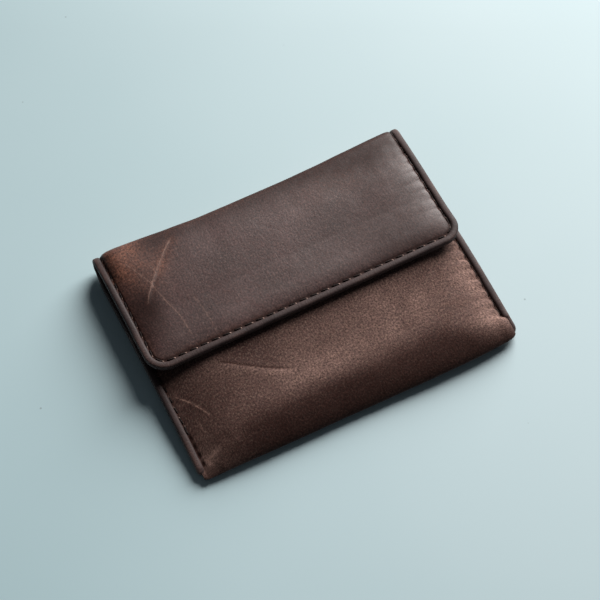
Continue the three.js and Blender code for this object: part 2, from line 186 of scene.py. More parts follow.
def cloud(x, y, size, seed):
    """Smooth random field between -1 and 1 whose blobs are about size across."""
    lattice = np.random.default_rng(seed).uniform(-1, 1, (64, 64))
    u, v = np.asarray(x) / size + 900, np.asarray(y) / size + 900
    i, j = np.floor(u).astype(int), np.floor(v).astype(int)
    fu, fv = ease(u - i), ease(v - j)
    corner = lambda di, dj: lattice[(i + di) % 64, (j + dj) % 64]
    near = mix(corner(0, 0), corner(1, 0), fu)
    far = mix(corner(0, 1), corner(1, 1), fu)
    return mix(near, far, fv)


def rolling(x, y, size, seed):
    return cloud(x, y, size, seed) * 0.7 + cloud(x, y, size * 0.47, seed + 1) * 0.3


def line_distance(x, y, points):
    """Distance from each (x, y) to a polyline, and the share of the way along it."""
    best = np.full(np.shape(x), 1e9)
    along = np.zeros(np.shape(x))
    lengths = [math.dist(a, b) for a, b in zip(points, points[1:])]
    done = 0.0
    for (ax, ay), (bx, by), length in zip(points, points[1:], lengths):
        t = np.clip(((x - ax) * (bx - ax) + (y - ay) * (by - ay)) / length**2, 0, 1)
        d = np.hypot(x - ax - t * (bx - ax), y - ay - t * (by - ay))
        closer = d < best
        best = np.where(closer, d, best)
        along = np.where(closer, (done + t * length) / sum(lengths), along)
        done += length
    return best, along


def signed_line(x, y, lines):
    """Signed distance to the nearest of some lines, and that line's strength faded to its ends."""
    nearest, strength = np.full(np.shape(x), NO_SCRATCH), np.zeros(np.shape(x))
    for points, weight in lines:
        for a, b in zip(points, points[1:]):
            length = math.dist(a, b)
            along = ((x - a[0]) * (b[0] - a[0]) + (y - a[1]) * (b[1] - a[1])) / length
            across = ((x - a[0]) * (b[1] - a[1]) - (y - a[1]) * (b[0] - a[0])) / length
            beyond = np.maximum(np.maximum(-along, along - length), 0)
            reach = np.hypot(across, beyond)
            first = ramp(along, -0.3, 2.2) if a == points[0] else 1.0
            last = ease((length + 0.3 - along) / 3.5) if b == points[-1] else 1.0
            closer = reach < np.abs(nearest)
            nearest = np.where(closer, np.where(across < 0, -reach, reach), nearest)
            strength = np.where(closer, weight * first * last, strength)
    return nearest, strength * ease((1.6 - np.abs(nearest)) / 0.8)


def soft_line(x, y, points, width):
    """1 on a polyline, fading to 0 beside it and at its two ends."""
    distance, along = line_distance(x, y, points)
    return hump(distance, width) * ramp(along, 0, 0.15) * ramp(along, 1, 0.8)


# ---- Surfaces of the closed wallet -------------------------------------------------

def swell(x, line, power=4.0, sharpness=0.8):
    reach = np.clip(np.abs(x) / line, 0, 1)
    return (1 - reach**power) ** sharpness


def stitch_wave(along):
    """0 at each needle hole of a seam, rising to a round 1 halfway between two holes."""
    return np.abs(np.sin(math.pi * along / STITCH_PITCH)) ** 0.85


def pouch_swell(x, y):
    """0 at a side seam and 1 in the middle. On the left the hide settles gently onto its seam. On the
    right it stands full beside it, scalloped by the stitches, and reaches the edge past the last one."""
    past_end = y - SEAM_END_Y
    scallop = 0.75 * (stitch_wave(past_end) - 0.72) * ramp(y, 14, 4) * ramp(past_end, 0, 0.8)
    spread = (SEAM_EDGE + 0.05 - SEAM_LINE) * ramp(past_end, 0.7, -1.1)
    full = swell(x, SEAM_LINE + scallop + spread, 7 + 3 * ramp(y, -18, -30), 0.62)
    settled = swell(x, SEAM_LINE + 0.5, 7, 1.3)
    return np.where(np.asarray(x) > 0, full, settled)


def flap_swell(x, y):
    scallop = 0.42 * (stitch_wave(flap_along(x, y)) - 0.62) * ramp(y, 32, 26) * ramp(y, 1, 4)
    full = swell(x, FLAP_LINE + 0.2 + scallop, mix(10, 13, ramp(y, 12, 30)), 0.6)
    settled = swell(x, FLAP_LINE + 0.4, mix(14, 34, ramp(y, 25, 34)), 1.1)
    return np.where(np.asarray(x) > 0, full, settled)


def seam_height(y):
    phase = np.clip(np.abs(y - SEAM_ARCH_Y) / SEAM_ARCH_REACH, 0, 1)
    return SEAM_LOW + SEAM_ARCH * np.cos(phase * math.pi / 2) ** 2


def front_crest(y):
    rise = mix(FOLD_TOP, FRONT_TOP, ramp(y, -20, 0))
    return rise - (FRONT_TOP - MOUTH_TOP) * ramp(y, 14, 21)


def back_z(x, y):
    return (seam_height(y) - SEAM_STACK / 2) * (1 - pouch_swell(x, y))


def front_z(x, y):
    return mix(seam_height(y) + SEAM_STACK / 2, front_crest(y), pouch_swell(x, y))


def flap_edge_z(y):
    front = mix(FLAP_FRONT_BEAD, FLAP_SIDE_BEAD, ramp(y - FLAP_FRONT_Y - DITCH, 0, 10))
    return mix(front, FLAP_REAR_BEAD, ramp(y, 20, 36)) + EDGE_STACK / 2


def front_rise(y):
    return 1 - (1 - np.clip((y - FLAP_FRONT_Y - DITCH) / FLAP_ROLL, 0, 1)) ** 2.5


def flap_z(x, y):
    crown = FLAP_CROWN + FLAP_DOME * np.sin(math.pi * np.clip((y - 11) / 25, 0, 1))
    return mix(flap_edge_z(y), crown, flap_swell(x, y) * front_rise(y))


def flap_inside(x, y):
    """Distance inwards from the flap's finished edge, round its front corners too."""
    side = FLAP_HALF - np.abs(x)
    front = y - FLAP_FRONT_Y
    corner = FLAP_CORNER - np.hypot(FLAP_CORNER - side, FLAP_CORNER - front)
    in_corner = (side < FLAP_CORNER) & (front < FLAP_CORNER)
    return np.where(in_corner, corner, np.minimum(side, front))


def flap_along(x, y):
    """Distance along the flap's stitch line from the middle of its front."""
    straight = FLAP_HALF - FLAP_CORNER
    corner_y = FLAP_FRONT_Y + FLAP_CORNER
    radius = FLAP_CORNER - STITCH_INSET
    turn = np.arctan2(np.abs(x) - straight, corner_y - y)
    on_corner = straight + radius * np.clip(turn, 0, math.pi / 2)
    on_side = straight + radius * math.pi / 2 + y - corner_y
    beside = (np.abs(x) > straight) & (y > corner_y)
    nearer_side = FLAP_HALF - np.abs(x) < y - FLAP_FRONT_Y
    inner = np.where(nearer_side, on_side, np.abs(x))
    return np.where(beside, on_side, np.where(np.abs(x) > straight, on_corner, inner))


def rear_edge_y(x):
    return REAR_Y - REAR_PULL * (1 - np.clip(np.abs(x) / FLAP_LINE, 0, 1) ** 2)


def crease_y(x):
    return rear_edge_y(x) - CREASE_RADIUS


# ---- Rows: lines across the wallet in order flap, spine, back, bottom fold, front ----
# A row is (zone, at), and at(x, depth) gives y and z of the point that lies depth under
# the hide's outer face.

def panel_row(zone, share, start_y, stop_y, surface, inward):
    """A row part of the way across a panel. inward is 1 where the inside lies above the face."""
    def at(x, depth):
        y = mix(start_y(x), stop_y(x), share)
        return y, surface(x, y) + inward * depth

    return zone, at


def flap_row(share):
    return panel_row("flap", share, lambda x: FLAP_FRONT_Y + SHEET_INSET, crease_y, flap_z, -1)


def back_row(share):
    return panel_row("back", share, crease_y, fold_start_y, back_z, 1)


def front_row(share):
    return panel_row("front", share, front_start_y, lambda x: MOUTH_Y - SHEET_INSET, front_z, -1)


def crease_row(top, degrees):
    angle = math.radians(degrees)

    def at(x, depth):
        centre_y = crease_y(x)
        if top:
            centre_z = flap_z(x, centre_y) - CREASE_RADIUS
        else:
            centre_z = back_z(x, centre_y) + CREASE_RADIUS
        reach = CREASE_RADIUS - depth
        return centre_y + reach * math.cos(angle), centre_z + reach * math.sin(angle)

    return ("top_crease" if top else "bottom_crease"), at


def spine_row(share):
    upper, lower = crease_row(True, 0)[1], crease_row(False, 0)[1]

    def at(x, depth):
        (y0, z0), (y1, z1) = upper(x, depth), lower(x, depth)
        return mix(y0, y1, share), mix(z0, z1, share)

    return "spine", at


def nose(x):
    """The rolled bottom fold: y of its tip and z of its tip, and how far it runs back below and above."""
    right = np.asarray(x) > 0
    full = np.where(right, swell(x, SEAM_EDGE + 0.4, 9, 0.6), swell(x, SEAM_LINE + 1.0, 6, 0.7))
    bulge = FRONT_BULGE * mix(0.75, 1.5, ramp(x, -10, 30))
    bulge = bulge * np.where(right, swell(x, SEAM_EDGE + 0.4, 8, 1), swell(x, SEAM_LINE, 2, 1))
    corner = np.clip((np.abs(x) - SEAM_EDGE + 2.2) / 2.2, 0, 0.97)
    tip_y = -HALF_DEPTH - FRONT_REACH - bulge + np.where(right, 1.0, 0.6) * (1 - np.sqrt(1 - corner**2))
    upper = 0.8 + NOSE_LENGTH * full
    low, high = back_z(x, -HALF_DEPTH + 2), front_z(x, tip_y + upper)
    tip_z = mix(low, high, mix(NOSE_SHARE, 0.46, ramp(x, 0, 30)))
    return tip_y, tip_z, 0.8 + 2.6 * full, upper


def fold_start_y(x):
    tip_y, _, lower, _ = nose(x)
    return tip_y + lower


def front_start_y(x):
    tip_y, _, _, upper = nose(x)
    return tip_y + upper


def fold_row(degrees):
    """Round the bottom fold, from -90 degrees underneath to 90 degrees on top."""
    angle = math.radians(degrees)

    def at(x, depth):
        tip_y, tip_z, lower, upper = nose(x)
        above = degrees > 0
        start = tip_y + (upper if above else lower)
        rise = front_z(x, start) - tip_z if above else tip_z - back_z(x, start)
        reach = np.maximum((upper if above else lower) - depth, 0.02)
        cos, sin = math.cos(angle), math.sin(angle)
        if above:
            cos, sin = cos**NOSE_SLANT, sin**NOSE_SLANT
        return start - reach * cos, tip_z + np.maximum(rise - depth, 0.02) * sin

    return "fold", at


def spaced(start, stop, length, pitch):
    return np.linspace(start, stop, max(2, int(round(length / pitch))) + 1)


def flap_rows(pitch):
    rows = [flap_row(s) for s in spaced(0, 1, FLAP_LENGTH, pitch)]
    rows += [crease_row(True, a) for a in spaced(90, 0, CREASE_LENGTH, pitch)[1:]]
    return rows + [spine_row(s) for s in spaced(0, 0.5, HALF_SPINE, pitch)[1:]]


def pouch_rows(pitch, plain_pitch):
    rows = [spine_row(s) for s in spaced(0.5, 1, HALF_SPINE, pitch)]
    rows += [crease_row(False, a) for a in spaced(0, -90, CREASE_LENGTH, pitch)[1:]]
    rows += [back_row(s) for s in spaced(0, 1, BACK_LENGTH, plain_pitch)[1:]]
    rows += [fold_row(a) for a in spaced(-90, 0, FOLD_UNDER, pitch)[1:]]
    rows += [fold_row(a) for a in spaced(0, 90, FOLD_OVER, pitch)[1:]]
    shown, hidden = FRONT_LENGTH * FRONT_SHOWN, FRONT_LENGTH * (1 - FRONT_SHOWN)
    rows += [front_row(s) for s in spaced(0, FRONT_SHOWN, shown, pitch)[1:]]
    return rows + [front_row(s) for s in spaced(FRONT_SHOWN, 1, hidden, plain_pitch)[1:]]


def columns(edge, line, pitch):
    """Places across the sheet, closer together beside the seams."""
    inner = spaced(0, 1, line * 1.1, pitch)
    half = line * (0.72 * inner + 0.28 * np.sin(inner * math.pi / 2))
    half = np.concatenate([half, spaced(line, edge, edge - line, pitch * 0.7)[1:]])
    return np.concatenate([-half[:0:-1], half])


def widened(xs, rows, r):
    """The pouch is a little wider than the spine and flap; its columns spread over the crease."""
    zone = rows[r][0]
    if zone == "flap":
        side_y = rows[r][1](np.array([FLAP_LINE]), 0)[0][0]
        return xs * flap_sheet_half(side_y) / FLAP_EDGE
    if zone in ("spine", "top_crease"):
        return xs
    crease = [k for k, row in enumerate(rows) if row[0] == "bottom_crease"]
    share = ramp(r, crease[0] - 1, crease[-1])
    return xs + np.sign(xs) * (SEAM_EDGE - FLAP_EDGE) * ramp(np.abs(xs), 0, FLAP_LINE) * share


def lined(xs, rows, r):
    """The pouch's lining reaches the bound edges behind the mouth and stops inside the side seams."""
    zone, at = rows[r]
    x = widened(xs, rows, r)
    if zone not in ("back", "fold", "front"):
        return x
    side_y = at(np.array([SEAM_LINE]), 0)[0][0]
    behind = ramp(side_y, 20, 24) if zone == "back" else 0
    return x * mix(LINING_EDGE / SEAM_EDGE, 1, behind)


def sheet_grid(rows, xs, depth, placed=widened):
    """Points [row, column, xyz] of the surface depth(zone, x, y) under the outer face."""
    grid = np.zeros((len(rows), len(xs), 3))
    for r, (zone, at) in enumerate(rows):
        x = placed(xs, rows, r)
        y = at(x, 0)[0]
        here_y, here_z = at(x, depth(zone, x, y))
        grid[r, :, 0], grid[r, :, 1], grid[r, :, 2] = x, here_y, here_z
    return grid


def flap_sheet_half(y):
    radius = FLAP_CORNER - SHEET_INSET
    short = max(0.0, radius - (y - FLAP_FRONT_Y - SHEET_INSET))
    return FLAP_EDGE - radius + math.sqrt(max(0.0, radius**2 - short**2))


def path_length(grid):
    """Distance along the hide at its middle, which lays the grain out without stretching."""
    middle = grid[:, grid.shape[1] // 2]
    return np.concatenate([[0], np.cumsum(np.linalg.norm(np.diff(middle, axis=0), axis=1))])


def grid_normals(grid):
    down, across = np.gradient(grid, axis=0), np.gradient(grid, axis=1)
    normal = np.cross(across, down)
    return normal / np.maximum(np.linalg.norm(normal, axis=2, keepdims=True), 1e-9)


# ---- Marks on the hide: where it is creased, scuffed, stretched pale or darkened by rubbing, and where shade and highlights are painted on

FLAP_CREASE = [
    (-28, 32.5), (-31.5, 29.4), (-34.5, 26.4), (-37, 23.8), (-39.9, 20.4), (-42.3, 17.4), (-44.3, 14)]
FLAP_SCRATCHES = [
    ([(-44.5, 31), (-41.7, 25.1), (-40.2, 21.3), (-38.6, 14.1), (-36.7, 7.6), (-36.2, -1)], 0.5),
    ([(-31, 13), (-30.1, 9.8), (-29.3, 2.7), (-29.3, -3.4)], 0.32),
    ([(-38.5, 27), (-35, 20.5), (-33.5, 15)], 0.14),
    ([(38, 26.5), (39.6, 22.5), (41.2, 20.5)], 0.22),
    ([(8, 30), (9, 24), (8.4, 19)], 0.14),
    ([(20, 12), (24, 9.5), (27, 9)], 0.12),
]
FRONT_CREASE = [(-34, -9.3), (-31.2, -10.5), (-27.3, -13.2), (-22.3, -16.4), (-17.3, -19.3), (-13.1, -21.4)]
FRONT_SCRATCHES = [
    ([(-49.0, -12.5), (-47.4, -14.6), (-45.2, -17.3), (-43.4, -20.3), (-41.8, -23.6)], 0.75),
    ([(-49.3, -35.8), (-46.7, -34.6), (-43.0, -33.4)], 0.8),
    ([(-46.3, -22), (-46.0, -25), (-45.2, -28.5)], 0.35),
    ([(30, -24), (36, -22.5), (42, -24)], 0.2),
]


def seam_puckers(distance, along, seed, reach=3.0):
    """Small ridges that run out from a seam, uneven from stitch to stitch."""
    wave = np.sin(2 * math.pi * (along + 0.9 * cloud(along, distance, 5, seed)) / 2.9)
    strength = 0.55 + 0.45 * cloud(along, 0 * along, 9, seed + 3)
    return wave * strength * np.exp(-distance / reach) * ramp(distance, 0, 0.5)


# Holes on the left seam that the thread no longer fills, beyond its last stitch
BARE_HOLES = [(STITCH_INSET - HALF_WIDTH, SEAM_END_Y + STITCH_PITCH * k) for k in (-0.6, 0.15, 0.95, 1.75)]


def needle_holes(x, y):
    return sum(hump(np.hypot(x - px, (y - py) / 1.3), 0.5) for px, py in BARE_HOLES)


def flap_relief(x, y):
    inside = flap_inside(x, y) - DITCH
    body = ramp(inside, 0, 4)
    relief = (0.16 * rolling(x, y, 19, 11) + 0.05 * cloud(x, y, 6, 15)) * body
    side = FLAP_LINE - np.abs(x)
    right = ramp(x, 20, 30)
    relief += seam_puckers(side, y, 21) * mix(0.03, 0.07, right * ramp(y, 2, 8)) * ramp(inside, 0, 1.5)
    inner = np.maximum(inside, 0)
    lifted = (1 - np.exp(-inner / 0.3)) * np.exp(-inner / 0.7)
    relief += (0.06 + 0.2 * stitch_wave(flap_along(x, y))) * lifted
    relief += 0.1 * ramp(inside, 0, 2) - 0.12 * hump(inside + 0.25, 0.35)
    relief += 0.12 * soft_line(x, y, FLAP_CREASE, 0.5)
    relief -= 0.12 * soft_line(x, y, shifted(FLAP_CREASE, 1.2, 0.6), 0.8)
    return relief


def front_relief(x, y):
    inside = SEAM_LINE - np.abs(x)
    body = ramp(inside, 0, 5)
    relief = (0.2 * rolling(x, y, 17, 41) + 0.06 * cloud(x, y, 6, 45)) * body
    near = ramp(y, 10, 2)
    relief += seam_puckers(inside, y, 51, 2.6) * 0.1 * near
    wave = np.where(np.asarray(x) > 0, 0.22, 0.06) * stitch_wave(y - SEAM_END_Y)
    relief += (wave - 0.06) * hump(inside - 0.8, 0.9) * near * ramp(y - SEAM_END_Y, -0.6, 0.6)
    relief += needle_holes(x, y) * -0.4
    relief -= 0.22 * soft_line(x, y, FRONT_CREASE, 0.4)
    relief += 0.2 * soft_line(x, y, shifted(FRONT_CREASE, 0, -1.6), 1.5)
    for points, strength in FRONT_SCRATCHES:
        relief += 0.16 * strength * soft_line(x, y, points, 0.45)
        relief -= 0.14 * strength * soft_line(x, y, shifted(points, 0.8, -0.6), 0.6)
    corner = [(-49.0, -36.5), (-45.0, -33.0), (-39.0, -30.5)]
    relief -= 0.25 * soft_line(x, y, corner, 1.5)
    relief += 0.2 * soft_line(x, y, shifted(corner, 2.5, -2.6), 1.4)
    return relief


def plain_relief(x, s):
    """The back and spine only dip inwards, so that the wallet still lies on the table."""
    return 0.12 * (rolling(x, s, 18, 61) - 1) * ramp(SEAM_LINE - np.abs(x), 0, 5)


FLAP_PALE = [(1.35, -45.5, 31, 6, 4.5), (0.45, -42, 26, 8, 8), (0.12, 24, 28, 12, 6)]
# Darker patches (strength, x, y, radius along x, radius along y): one on the left, and painted shade round
# the sheen on the right and across the front middle.
FLAP_RUB_AND_SHADE = [(0.75, -44, 14, 4.8, 9), (0.3, 34, 12, 13.2, 14.4), (0.16, 8, 6, 28.8, 9), (0.2, 38, 25, 8, 8)]
# Pale patches (strength, x, y, radius along x, radius along y); those at x 45 are painted highlight on the
# full right corner.
FRONT_PALE_AND_HIGHLIGHT = [
    (0.55, -8, -24.5, 15.2, 6.4), (0.4, 22, -20, 16, 10), (0.5, -46, -34.5, 4.5, 4.5), (0.35, 45, -33, 5, 5)]
FRONT_CORNER_PALE_AND_HIGHLIGHT = [(0.3, 45, -33.2, 5.72, 2.08), (0.5, -48.5, -35, 3.5, 3.5), (0.3, -35, -9, 5, 5)]
# A darker patch at the front left.
FRONT_DARKENING = [(0.35, -42, -20, 8.8, 8.8)]


def shifted(points, dx, dy):
    return [(x + dx, y + dy) for x, y in points]


def flap_marks(x, y):
    """Pale stretch, fine light scratches and dark rub on the flap, with painted shade in its stitch ditch,
    towards its right side and round its sheen.
    """
    inside = flap_inside(x, y) - DITCH
    uneven = 0.75 + 0.35 * cloud(x, y, 5, 71) + 0.25 * cloud(x, y, 2, 72)
    pale = spots(x, y, FLAP_PALE)
    pale += 0.45 * soft_line(x, y, shifted(FLAP_CREASE[:5], 1.6, 1.0), 2.2)
    pale += 0.15 * hump(y - 36.5, 3.0) * mix(1, 0.35, ramp(x, -25, 5))
    pale += 0.25 * hump(inside, 1.1) * ramp(x, 0, -20)
    pale = pale * np.clip(uneven, 0.2, 1.4)
    scratch = signed_line(x, y, [(FLAP_CREASE, 0.65)] + FLAP_SCRATCHES)
    # Darker patches, most of them painted shade round the flap's sheen.
    rub_and_painted_shade = spots(x, y, FLAP_RUB_AND_SHADE)
    # Painted shade along the stitch ditch, strongest at the front.
    rub_and_painted_shade += mix(0.3, 0.9, ramp(y, 3, -2)) * hump(inside + 0.1, 0.5) + 0.2 * hump(inside, 2.6)
    # Darker towards the left and the rear; painted shade towards the right side and across the front right,
    # damping the lamp's sheen there.
    rub_and_painted_shade += 0.22 * ramp(x, -20, -40) + 0.18 * ramp(x, 5, 30)
    rub_and_painted_shade += mix(0.45, 0.7, ramp(x, -10, 30)) * ramp(y, 22, 34) * ramp(x, -44, -30)
    rub_and_painted_shade += 0.25 * hump(y + 1, 6) * ramp(x, 10, 35)
    rub_and_painted_shade += 0.3 * ramp(y, 29, 35) * ramp(x, -44, -34) * ramp(x, 30, 10)
    return pale, scratch, rub_and_painted_shade


def front_marks(x, y):
    inside = SEAM_LINE - np.abs(x)
    uneven = 0.8 + 0.35 * cloud(x, y, 6, 81) + 0.25 * cloud(x, y, 2.2, 82)
    pale = 0.55 * hump(inside - 2.5, 5.0) * ramp(x, 0, 20) * ramp(y, 6, -2)
    # Pale patches, with a painted highlight at the right corner.
    pale += spots(x, y, FRONT_PALE_AND_HIGHLIGHT)
    pale += 0.5 * soft_line(x, y, shifted(FRONT_CREASE, -0.5, -1.7), 1.8)
    # Painted shade on the bottom roll, which turns away from the light: pale marks fade out there.
    turned = ramp(mix(-25, -32.5, ramp(x, 30, 44)) - y, 0, 9)
    pale *= 1 - 0.85 * turned
    # Pale patches at the corners, with a painted highlight band at the right corner.
    pale += spots(x, y, FRONT_CORNER_PALE_AND_HIGHLIGHT)
    pale += 0.9 * soft_line(x, y, FRONT_SCRATCHES[1][0], 0.8)
    # Painted light: lifts the front a little below the flap's front edge, against the flap's shadow there.
    pale += 0.16 * hump(y + 13.5, 6) * ramp(x, -25, -10)
    pale = pale * np.clip(uneven, 0.2, 1.4)
    scratch = signed_line(x, y, FRONT_SCRATCHES)
    # Painted shade in the front crease and in the bare needle holes.
    rub_and_painted_shade = 0.85 * soft_line(x, y, FRONT_CREASE, 0.34) + 1.6 * needle_holes(x, y)
    rub_and_painted_shade += spots(x, y, FRONT_DARKENING)
    # Painted shade along the seam ditch and on the bottom roll, and darker towards the left.
    rub_and_painted_shade += 0.5 * hump(inside + 0.2, 0.6) * ramp(y - SEAM_END_Y, -0.4, 0.4)
    rub_and_painted_shade += 0.82 * turned * mix(0.25, 1, ramp(x, -48, -24)) + 0.12 * ramp(x, -10, -50)
    return pale, scratch, rub_and_painted_shade


# ---- Meshes -----------------------------------------------------------------------

def mesh(name, points, faces, material, attributes=None, sharp_degrees=60):
    """A mesh object from points in millimetres. attributes: name to one number or vector a point."""
    data = bpy.data.meshes.new(name)
    data.from_pydata((np.asarray(points) * MM).tolist(), [], faces)
    data.polygons.foreach_set("use_smooth", [True] * len(data.polygons))
    for key, values in (attributes or {}).items():
        values = np.asarray(values, np.float32)
        kind = "FLOAT_VECTOR" if values.ndim == 2 else "FLOAT"
        layer = data.attributes.new(key, kind, "POINT")
        layer.data.foreach_set("vector" if values.ndim == 2 else "value", values.ravel())
    data.update()
    data.set_sharp_from_angle(angle=math.radians(sharp_degrees))
    data.materials.append(material)
    obj = bpy.data.objects.new(name, data)
    bpy.context.scene.collection.objects.link(obj)
    return obj


def grid_faces(rows, cols, round_cols=False, round_rows=False):
    """Quads between the points of a grid, whose last column or row may join its first."""
    lines = np.arange(rows if round_rows else rows - 1), np.arange(cols if round_cols else cols - 1)
    r, c = (index.ravel() for index in np.meshgrid(*lines, indexing="ij"))
    below, beside = (r + 1) % rows, (c + 1) % cols
    return np.stack([r * cols + c, r * cols + beside, below * cols + beside, below * cols + c], 1)


def hide_places(across, along):
    """The attribute that carries the grain: where each point lies on the flat hide, in metres."""
    return np.stack(np.broadcast_arrays(across, along, 0.0), -1).reshape(-1, 3) * MM


def slab(name, outer, inner, material, attributes):
    """A closed sheet between two grids of the same size. attributes: one grid for each name."""
    rows, cols = outer.shape[:2]
    count = rows * cols
    index = np.arange(count).reshape(rows, cols)
    faces = [grid_faces(rows, cols), grid_faces(rows, cols)[:, ::-1] + count]
    rim = np.concatenate([index[0, :], index[1:, -1], index[-1, -2::-1], index[-2:0:-1, 0]])
    following = np.roll(rim, -1)
    faces.append(np.stack([following, rim, rim + count, following + count], 1))
    points = np.concatenate([outer.reshape(-1, 3), inner.reshape(-1, 3)])
    flat = {k: v if v.shape[-1] == 3 else v.ravel() for k, v in attributes.items()}
    doubled = {k: np.concatenate([v, v]) for k, v in flat.items()}
    return mesh(name, points, np.concatenate(faces).tolist(), material, doubled)


def rounded(turns, power):
    """Points round a square whose corners are rounded, from power 2, a circle, towards sharp."""
    cos, sin = np.cos(turns), np.sin(turns)
    return np.sign(cos) * np.abs(cos) ** (2 / power), np.sign(sin) * np.abs(sin) ** (2 / power)


def tube(points, faces, loops):
    """Adds closed loops [station, corner, xyz], capped at both ends, to growing lists."""
    base = sum(len(p) for p in points)
    stations, corners = loops.shape[:2]
    points.append(loops.reshape(-1, 3))
    faces.extend((grid_faces(stations, corners, True) + base).tolist())
    faces.append([base + i for i in range(corners)][::-1])
    faces.append([base + (stations - 1) * corners + i for i in range(corners)])


def outward(obj):
    """Turns the faces of closed shells outwards."""
    work = bmesh.new()
    work.from_mesh(obj.data)
    bmesh.ops.recalc_face_normals(work, faces=work.faces)
    work.to_mesh(obj.data)
    work.free()
    return obj


# ---- Materials --------------------------------------------------------------------

def srgb(red, green, blue):
    def linear(value):
        v = value / 255
        return v / 12.92 if v <= 0.04045 else ((v + 0.055) / 1.055) ** 2.4
    return (linear(red), linear(green), linear(blue), 1.0)


class Graph:
    """Adds nodes to a new material and links them."""

    def __init__(self, name):
        self.material = bpy.data.materials.new(name)
        self.material.use_nodes = True
        self.tree = self.material.node_tree
        self.shader = self.tree.nodes["Principled BSDF"]

    def feed(self, socket, value):
        if isinstance(value, bpy.types.NodeSocket):
            self.tree.links.new(value, socket)
        else:
            socket.default_value = value

    def add(self, kind, inputs, output=0, **settings):
        node = self.tree.nodes.new(kind)
        for key, value in settings.items():
            setattr(node, key, value)
        for key, value in inputs.items():
            self.feed(node.inputs[key], value)
        return node.outputs[output]

    def attribute(self, name, output="Fac"):
        return self.add("ShaderNodeAttribute", {}, output, attribute_name=name)

    def place(self):
        """Where a point lies on the flat hide, in metres."""
        return self.attribute("hide", "Vector")

    def object_place(self):
        return self.add("ShaderNodeTexCoord", {}, "Object")

    def stretched(self, vector, scale):
        return self.add("ShaderNodeMapping", {"Vector": vector, "Scale": scale})

    def along(self, vector, direction):
        return self.add("ShaderNodeVectorMath", {0: vector, 1: direction}, "Value", operation="DOT_PRODUCT")

    def noise(self, vector, period_mm, detail=2.0, roughness=0.5, distortion=0.0):
        return self.add("ShaderNodeTexNoise", {
            "Vector": vector, "Scale": 1 / (period_mm * MM), "Detail": detail,
            "Roughness": roughness, "Distortion": distortion})

    def cells(self, vector, period_mm, feature="F1"):
        return self.add("ShaderNodeTexVoronoi", {"Vector": vector, "Scale": 1 / (period_mm * MM)},
                        "Distance", feature=feature)

    def math(self, operation, a, b=0.0, clamp=False):
        return self.add("ShaderNodeMath", {0: a, 1: b}, operation=operation, use_clamp=clamp)

    def times(self, a, b):
        return self.math("MULTIPLY", a, b)

    def between(self, value, low, high, out_low=0.0, out_high=1.0):
        return self.add("ShaderNodeMapRange", {
            "Value": value, "From Min": low, "From Max": high, "To Min": out_low, "To Max": out_high})

    def blend(self, share, a, b, mode="MIX"):
        return self.add("ShaderNodeMix", {0: share, 6: a, 7: b}, 2, data_type="RGBA", blend_type=mode)

    def shaded(self, color, factor):
        return self.blend(1.0, color, factor, "MULTIPLY")

    def wave(self, vector, scale, distortion, **settings):
        inputs = {"Vector": vector, "Scale": scale, "Distortion": distortion}
        return self.add("ShaderNodeTexWave", inputs, "Fac", **settings)

    def bump(self, height, depth_mm, strength=1.0, after=None):
        inputs = {"Height": height, "Distance": depth_mm * MM, "Strength": strength}
        if after is not None:
            inputs["Normal"] = after
        return self.add("ShaderNodeBump", inputs)

    def finish(self, color, roughness, normal=None, **extra):
        self.feed(self.shader.inputs["Base Color"], color)
        self.feed(self.shader.inputs["Roughness"], roughness)
        if normal is not None:
            self.feed(self.shader.inputs["Normal"], normal)
        for key, value in extra.items():
            self.feed(self.shader.inputs[key.replace("_", " ")], value)
        return self.material


